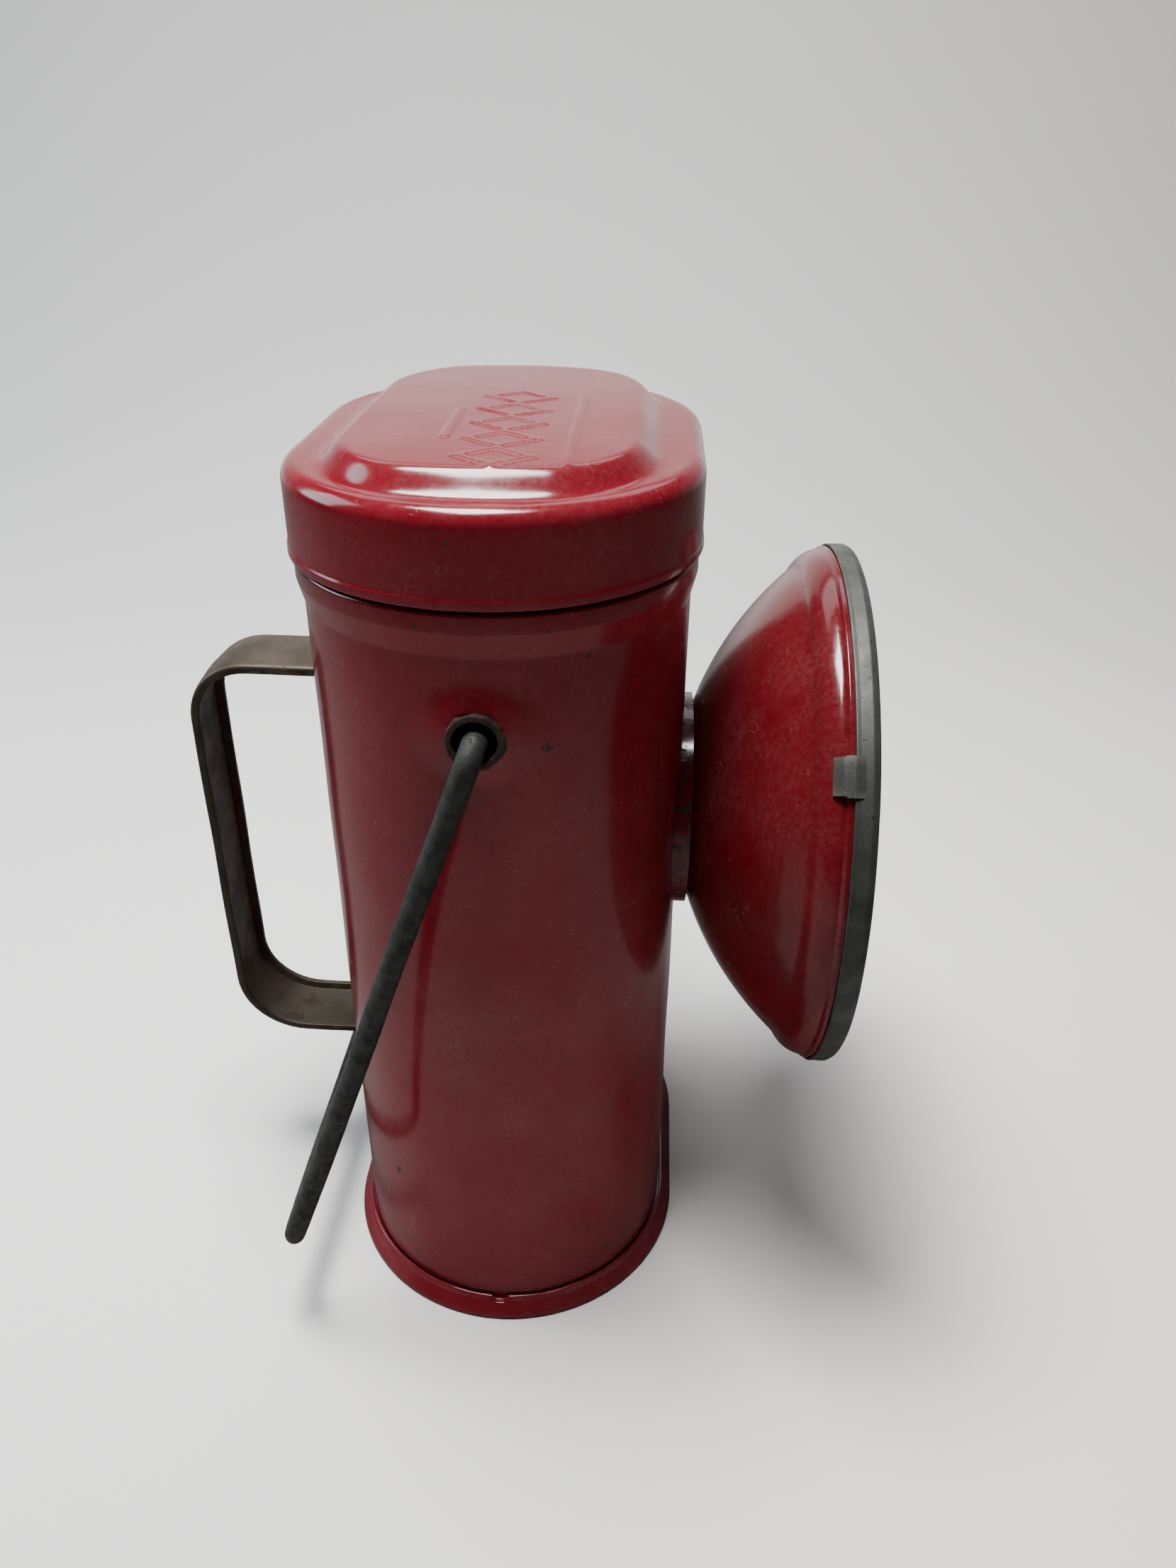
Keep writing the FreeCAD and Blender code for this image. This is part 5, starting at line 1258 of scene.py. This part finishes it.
@dataclass
class LampHead:
    """Collar, bowl, reflector, lamp, glass and clipped zinc ring of the lamp head."""

    case_side: float = 35.5
    bowl_sheet: float = 0.8
    tab_turn: float = math.radians(35)
    segments: int = 160
    tab_half: float = 3.8
    tab_sheet: float = 0.75
    flange: float = 3.9
    glass_flat: float = 3.2
    glass_thick: float = 2.0
    glass_rings: int = 20
    thread_step: float = 0.18
    thread_turn: float = 0.9
    bulb_neck: float = 4.1
    bulb_wall: float = 0.6

    def __post_init__(self) -> None:
        """Reads the head's axis from the frame."""
        self.ring_low, self.ring_high = node_box("lens_ring")
        middle = (self.ring_low + self.ring_high) / 2
        self.origin = Vector((self.case_side, 0, middle.z))
        self.radius = (self.ring_high.z - self.ring_low.z) / 2
        self.front = self.ring_high.x - self.case_side

    def extent(self, node: str) -> tuple[float, float, float]:
        """Start and end of a node along the head's axis, and its radius."""
        low, high = node_box(node)
        return low.x - self.case_side, high.x - self.case_side, (high.z - low.z) / 2

    def build(self) -> None:
        """Builds every piece of the head."""
        self.build_bowl()
        self.build_ring()
        self.build_reflector()
        self.build_glass()
        self.build_lamp()
        dress_node("head_collar", Finish.BOWL)
        dress_node("lens_gasket", Finish.GASKET)
        dress_node("head_rivets", Finish.STRAP)
        dress_node("socket_insulator", Finish.BAKELITE)
        dress_node("socket_contact", Finish.BRASS)

    def build_bowl(self) -> None:
        """Bowl with a bulged flank, a small step and a straight rim."""
        _, rim, reach = self.extent("lamp_bowl")
        flank = arc((3.1, 21.6), (rim - 7.0, reach - 4.1), 2.1, 30)
        step = arc((rim - 7.0, reach - 4.1), (rim - 2.3, reach - 0.15), 0.75, 10)
        outside = rounded([(2.5, 6.1), (2.5, 20.6, 1.2), (3.1, 21.6)]) + flank[1:] + step[1:]
        outside += rounded([
            (rim - 1.9, reach - 0.2), (rim - 1.3, reach + 0.45, 0.3), (rim - 0.5, reach + 0.4, 0.3),
            (rim - 0.1, reach, 0.1), (rim, reach - self.bowl_sheet),
        ])
        sheet = self.bowl_sheet
        inside = arc((rim - 1.8, reach - sheet), (rim - 6.4, reach - 4.6), -0.7, 6)
        inside += arc((rim - 6.4, reach - 4.6), (3.6, 20.9), -2.0, 16) + [(3.3, 20.3), (3.3, 6.1)]
        bowl = lathe("lamp_bowl_shell", outside + inside, self.origin, self.segments)
        fit(bowl, "root", "red_enamel", Finish.BOWL, "lamp_bowl")

    def build_ring(self) -> None:
        """Zinc ring over the bowl's rim, with a clip tab folded back at each side."""
        back = self.extent("lamp_bowl")[1]
        outer, front = self.radius, self.front
        section = rounded([
            (back - 0.5, outer - 0.55, 0.15), (back - 0.45, outer - 0.02, 0.25),
            (back + 0.4, outer - 0.12, 0.4),
            (front - 1.4, outer, 0.8), (front, outer - 0.7, 0.9), (front, outer - 3.4, 0.3),
            (front - 0.7, outer - 3.4, 0.2), (front - 0.75, outer - 0.8, 0.4),
        ], closed=True)
        rings = turned_rings(section, self.origin, self.segments)
        for ring in rings:
            for index, point in enumerate(ring):
                spoke = Vector((0, point.y, point.z - self.origin.z)).normalized()
                ring[index] = point + spoke * wobble(point, 17.0, 0.18, 4.0)
        work = bmesh.new()
        add_loft(work, rings, joined=True)
        for side in (-1, 1):
            add_loft(work, self.tab_rings(side, back), capped=True)
        fit(finish_mesh("lens_ring_zinc", work), "root", "zinc_plate", Finish.RING, "lens_ring")

    def tab_rings(self, side: int, back: float) -> list[Ring]:
        """Rings of one clip tab, from its root on the ring to its end bent in behind the rim."""
        section = (
            (-1, 0), (-0.96, 1), (-0.5, 1.05), (0, 1.05), (0.5, 1.05), (0.96, 1), (1, 0), (0.5, 0), (0, 0),
            (-0.5, 0),
        )
        line = rounded([
            (back + 2.2, self.radius - 0.3), (back - 0.5, self.radius + 0.4, 1.5),
            (back - 2.4, self.radius + 0.25, 1.3), (back - 4.1, self.radius - 1.15),
        ], steps=6)
        rings = []
        for index, (along, reach) in enumerate(spaced(line, 0.6)):
            grow = smooth_step(0, 3, index)
            width = self.tab_half * (0.86 + 0.14 * grow) / self.radius
            last = smooth_step(len(line) - 3, len(line), index)
            ring = []
            for edge, level in section:
                turn = width * edge * (1 - 0.08 * last)
                around = turn + self.tab_turn
                spoke = Vector((0, -math.cos(around), math.sin(around))) * side
                lift = (level - 1) * self.tab_sheet
                ring.append(self.origin + Vector((along, 0, 0)) + spoke * (reach + lift))
            rings.append(ring)
        return rings

    def build_reflector(self) -> None:
        """Silvered bowl-shaped reflector with a flat flange under the glass."""
        back, front, reach = self.extent("reflector")
        mouth = reach - self.flange
        inner = arc((back + 0.6, 8.6), (front, mouth - 0.5), 4.5, 36)
        outer = arc((front - 0.5, mouth), (back, 8.6), -4.5, 24)
        profile = inner + [(front, reach), (front - 0.5, reach)] + outer
        mirror = lathe("silvered_bowl", profile, self.origin, self.segments)
        fit(mirror, "root", "silvered", Finish.MIRROR, "reflector")

    def build_glass(self) -> None:
        """Bowed lens glass with a flat border under the ring's lip."""
        back, crown, reach = self.extent("lens_glass")
        bowed, depth = reach - self.glass_flat, self.glass_thick
        rise = crown - back - depth
        shares = [step / self.glass_rings for step in range(self.glass_rings + 1)]
        rear = [(back + rise * (1 - share ** 2), bowed * share) for share in shares]
        front = [(along + depth, radius) for along, radius in reversed(rear)]
        profile = [(back, reach), (back + depth, reach)] + front + rear
        glass = lathe("lens_glass_bowed", profile, self.origin, self.segments)
        fit(glass, "root", "lens_glass", Finish.LENS, "lens_glass")

    def build_lamp(self) -> None:
        """Screw lamp in its threaded socket: globe, base, supports and coil."""
        start, end, base_reach = self.extent("bulb_base")
        thread = [
            (start + 1.0 + step * self.thread_step,
             base_reach - 0.22 + 0.2 * math.sin(step * self.thread_turn))
            for step in range(int((end - start - 2.2) / self.thread_step))
        ]
        profile = [(start, 0.0), (start, 1.6), (start + 0.9, 1.8), (start + 1.0, 3.6)] + thread
        neck_reach = self.bulb_neck
        profile += [(end, base_reach - 0.3), (end, neck_reach), (end - 4.0, neck_reach), (end - 4.0, 0.0)]
        base = lathe("bulb_base_threaded", profile, self.origin, 64, joined=False)
        fit(base, "root", "brass", Finish.BRASS, "bulb_base")
        neck, tip, reach = self.extent("bulb_glass")
        centre = tip - reach
        outer = [(neck, neck_reach)] + self.globe(centre, reach, neck_reach)
        inner_neck = neck_reach - self.bulb_wall
        inner = self.globe(centre, reach - self.bulb_wall, inner_neck)[::-1] + [(neck, inner_neck)]
        glass = lathe("bulb_globe", outer + inner, self.origin, 72)
        fit(glass, "root", "lamp_glass", Finish.LAMP_GLASS, "bulb_glass")
        dress_node("lamp_socket", Finish.BRASS)
        dress_node("bulb_filament", Finish.FILAMENT)

    def globe(self, centre: float, reach: float, neck: float) -> list[Pair]:
        """Round of the globe from its neck to its tip."""
        start = math.pi - math.asin(neck / reach)
        turns = (start * (1 - step / 24) for step in range(25))
        return [(centre + reach * math.cos(turn), reach * math.sin(turn)) for turn in turns]


class Plain(Enum):
    """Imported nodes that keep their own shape, with the finish each one gets."""

    SWITCH_PLATE = ("switch_plate", Finish.RING)
    SWITCH_RIVETS = ("switch_rivets", Finish.STRAP)
    SWITCH_BRIDGE = ("switch_bridge", Finish.BRASS)
    SWITCH_LEAD = ("switch_lead", Finish.BRASS)
    SWITCH_BOARD = ("switch_board", Finish.FIBRE)
    LAMP_LEAD = ("lamp_lead", Finish.BRASS)
    LEAD_BOARD = ("lead_board", Finish.FIBRE)
    JACKET = ("battery_jacket", Finish.CARD)
    CAN = ("battery_can", Finish.ZINC)
    MIX = ("battery_mix", Finish.CARBON)
    SEAL = ("battery_seal", Finish.PITCH)
    ROD = ("carbon_rod", Finish.CARBON)
    CARBON_POST = ("carbon_post", Finish.BRASS)
    ZINC_POST = ("zinc_post", Finish.BRASS)
    SPACER = ("battery_spacer", Finish.PINE)


@dataclass
class Inside:
    """Dry cell, wiring and switch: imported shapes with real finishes, and knurled terminal nuts."""

    knurls: int = 24
    nut_height: float = 4.0

    def build(self) -> None:
        """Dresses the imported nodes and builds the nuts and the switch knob."""
        for plain in Plain:
            dress_node(*plain.value)
        self.build_nuts()
        self.build_knob()

    def build_nuts(self) -> None:
        """Knurled brass nuts on the cell's two studs."""
        work = bmesh.new()
        low, high = node_box("terminal_nuts")
        carbon = node_box("carbon_post")
        zinc = node_box("zinc_post")
        reach = (high.y - low.y) / 2
        section = [
            (0.0, 2.05), (0.0, reach - 0.5), (0.6, reach), (2.6, reach), (3.4, reach - 1.3),
            (self.nut_height, reach - 1.6), (self.nut_height, 2.05),
        ]

        def knurled(step: int, _: Vector, radius: float) -> float:
            """Radius with a notch at every other pair of steps of the widest rings."""
            return radius - 0.28 * (step % 4 in (0, 1)) if radius > reach - 0.2 else radius

        for post, top in ((carbon, high.z), (zinc, low.z + self.nut_height)):
            middle = (post[0] + post[1]) / 2
            seat = Vector((middle.x, middle.y, top - self.nut_height))
            add_loft(work, turned_rings(section, seat, self.knurls * 4, Axis.Z, knurled), joined=True)
        fit(finish_mesh("terminal_nuts_knurled", work, 30.0), "root", "brass", Finish.BRASS, "terminal_nuts")

    def build_knob(self) -> None:
        """Thumb slide of the switch: ribbed, rounded knob on a stem through the slot."""
        low, high = node_box("switch_slider")
        middle = (low + high) / 2
        half_y, half_z, depth = (high.y - low.y) / 2, (high.z - low.z) / 2, 3.6
        work = bmesh.new()
        rings = []
        for back, trim in ((depth, 0.0), (depth * 0.35, 0.0), (0.45, 0.25), (0.1, 0.75), (0.0, 1.3)):
            outline = rounded([
                (-half_y + trim, -half_z + trim, 1.0), (half_y - trim, -half_z + trim, 1.0),
                (half_y - trim, half_z - trim, 1.0), (-half_y + trim, half_z - trim, 1.0),
            ], 4, True)
            rings.append([Vector((low.x + back, y, middle.z + z)) for y, z in outline])
        add_loft(work, rings, capped=True)
        for rib in range(-2, 3):
            level = middle.z + rib * 1.15
            corners = ((-1, -0.3), (1, -0.3), (1, 0.3), (-1, 0.3))
            bar = [Vector((low.x + 0.3, side * (half_y - 1.2), level + up)) for side, up in corners]
            top = [point + Vector((-0.28, 0, 0)) for point in bar]
            add_loft(work, [bar, top], capped=True)
        stem = rounded([(-1.2, -2.6, 0.4), (1.2, -2.6, 0.4), (1.2, 2.6, 0.4), (-1.2, 2.6, 0.4)], 3, True)
        ends = (low.x + depth - 0.1, high.x)
        add_loft(work, [[Vector((x, y, middle.z + z)) for y, z in stem] for x in ends], capped=True)
        knob = finish_mesh("switch_knob", work, 35.0)
        fit(knob, "switch", "black_bakelite", Finish.BAKELITE, "switch_slider")


# ---------------------------------------------------------------- studio


@dataclass(frozen=True)
class SoftBox:
    """One soft rectangular light."""

    name: str
    place: tuple
    aim: tuple
    size: Pair
    power: float
    colour: Colour = (1.0, 1.0, 1.0)

    def build(self) -> None:
        """Hangs the light."""
        data = bpy.data.lights.new(self.name, "AREA")
        data.shape = "RECTANGLE"
        data.size, data.size_y = self.size
        data.energy = self.power
        data.color = self.colour
        lamp = bpy.data.objects.new(self.name, data)
        lamp.location = self.place
        lamp.rotation_mode = "QUATERNION"
        lamp.rotation_quaternion = (Vector(self.aim) - Vector(self.place)).to_track_quat("-Z", "Y")
        bpy.context.scene.collection.objects.link(lamp)


@dataclass
class Studio:
    """Pale floor, soft light and the camera."""

    half_width: float = 1.8
    near: float = -0.9
    far: float = 0.78
    bend: float = 0.42
    top: float = 0.62
    paper: Colour = (0.83, 0.80, 0.785)
    paper_mirrored: float = 0.17
    sky: Colour = (0.93, 0.96, 1.0)
    sky_power: float = 0.07
    dark_side: float = 0.006
    lens: float = 26.607938517179026
    sensor: float = 36.0
    pitch: float = 0.5233
    yaw: float = 0.0502
    roll: float = 0.0103
    camera_place: tuple = (0.0271847, -0.2191555, 0.2369509)

    def build(self) -> None:
        """Builds the floor, the lights and the camera."""
        self.build_camera()
        self.build_floor()
        self.build_world()
        lights = (
            SoftBox(
                "top_light", (-0.06, -0.02, 0.66), (0, 0.02, 0.1), (0.24, 0.20), 10.0, (1.0, 0.98, 0.965)),
            SoftBox(
                "back_light", (-0.05, 0.70, 0.92), (0, 0, 0.1), (1.1, 0.40), 3.0, (0.94, 0.97, 1.0)),
            SoftBox(
                "left_light", (-0.75, 0.10, 0.50), (0, 0, 0.1), (0.4, 0.5), 4.4, (0.72, 0.92, 1.0)),
        )
        for light in lights:
            light.build()

    def build_camera(self) -> None:
        """Camera at the viewing angle."""
        data = bpy.data.cameras.new("camera")
        data.sensor_width = self.sensor
        data.sensor_fit = "AUTO"
        data.lens = self.lens
        data.clip_start = 0.01
        camera = bpy.data.objects.new("camera", data)
        turn = Matrix.Rotation(self.yaw, 4, "Z") @ Matrix.Rotation(math.pi / 2 - self.pitch, 4, "X")
        turn = turn @ Matrix.Rotation(self.roll, 4, "Z")
        camera.matrix_world = Matrix.Translation(self.camera_place) @ turn
        bpy.context.scene.collection.objects.link(camera)
        bpy.context.scene.camera = camera

    def build_floor(self) -> None:
        """Pale paper floor that sweeps up behind. It shows darker in the enamel than it is."""
        side = rounded([(self.near, 0), (self.far, 0, self.bend), (self.far, self.top)], steps=24)
        rings = [[Vector((x, y, z)) / MM for y, z in side] for x in (-self.half_width, self.half_width)]
        floor = loft("paper_sweep", rings, looped=False)
        look = Surface("pale_paper")
        flat = look.spread(look.level(), 10.0, 120.0, 1.0, 0.0)
        mirrored = look.times(look.add("ShaderNodeLightPath").outputs["Is Glossy Ray"], flat)
        colour = look.blend(mirrored, rgba(self.paper), shade(self.paper, self.paper_mirrored))
        look.set(Base_Color=colour, Roughness=0.8)
        look.set(Specular_IOR_Level=0.2)
        floor.data.materials.append(look.material)

    def build_world(self) -> None:
        """Pale surroundings behind and above, dark on the camera's side."""
        world = bpy.data.worlds.new("surroundings")
        world.use_nodes = True
        sheet = NodeSheet(world.node_tree)
        way = sheet.add("ShaderNodeTexCoord").outputs["Generated"]
        parts = sheet.add("ShaderNodeSeparateXYZ", {0: way}).outputs
        behind = sheet.plus(parts[1], sheet.times(parts[2], 0.35))
        power = sheet.spread(behind, -0.05, 0.75, self.dark_side, self.sky_power)
        back = world.node_tree.nodes["Background"]
        back.inputs["Color"].default_value = rgba(self.sky)
        world.node_tree.links.new(power, back.inputs["Strength"])
        bpy.context.scene.world = world


def main() -> None:
    """Builds the lantern and its studio."""
    logging.basicConfig(level=logging.INFO, format="%(message)s")
    noise.seed_set(NOISE_SEED)
    Studio().build()
    for assembly in (Case(), Lid(), Bail(), CarryStrap(), LampHead(), Inside()):
        LOG.info("building %s", type(assembly).__name__)
        assembly.build()


if __name__ == "__main__":
    main()
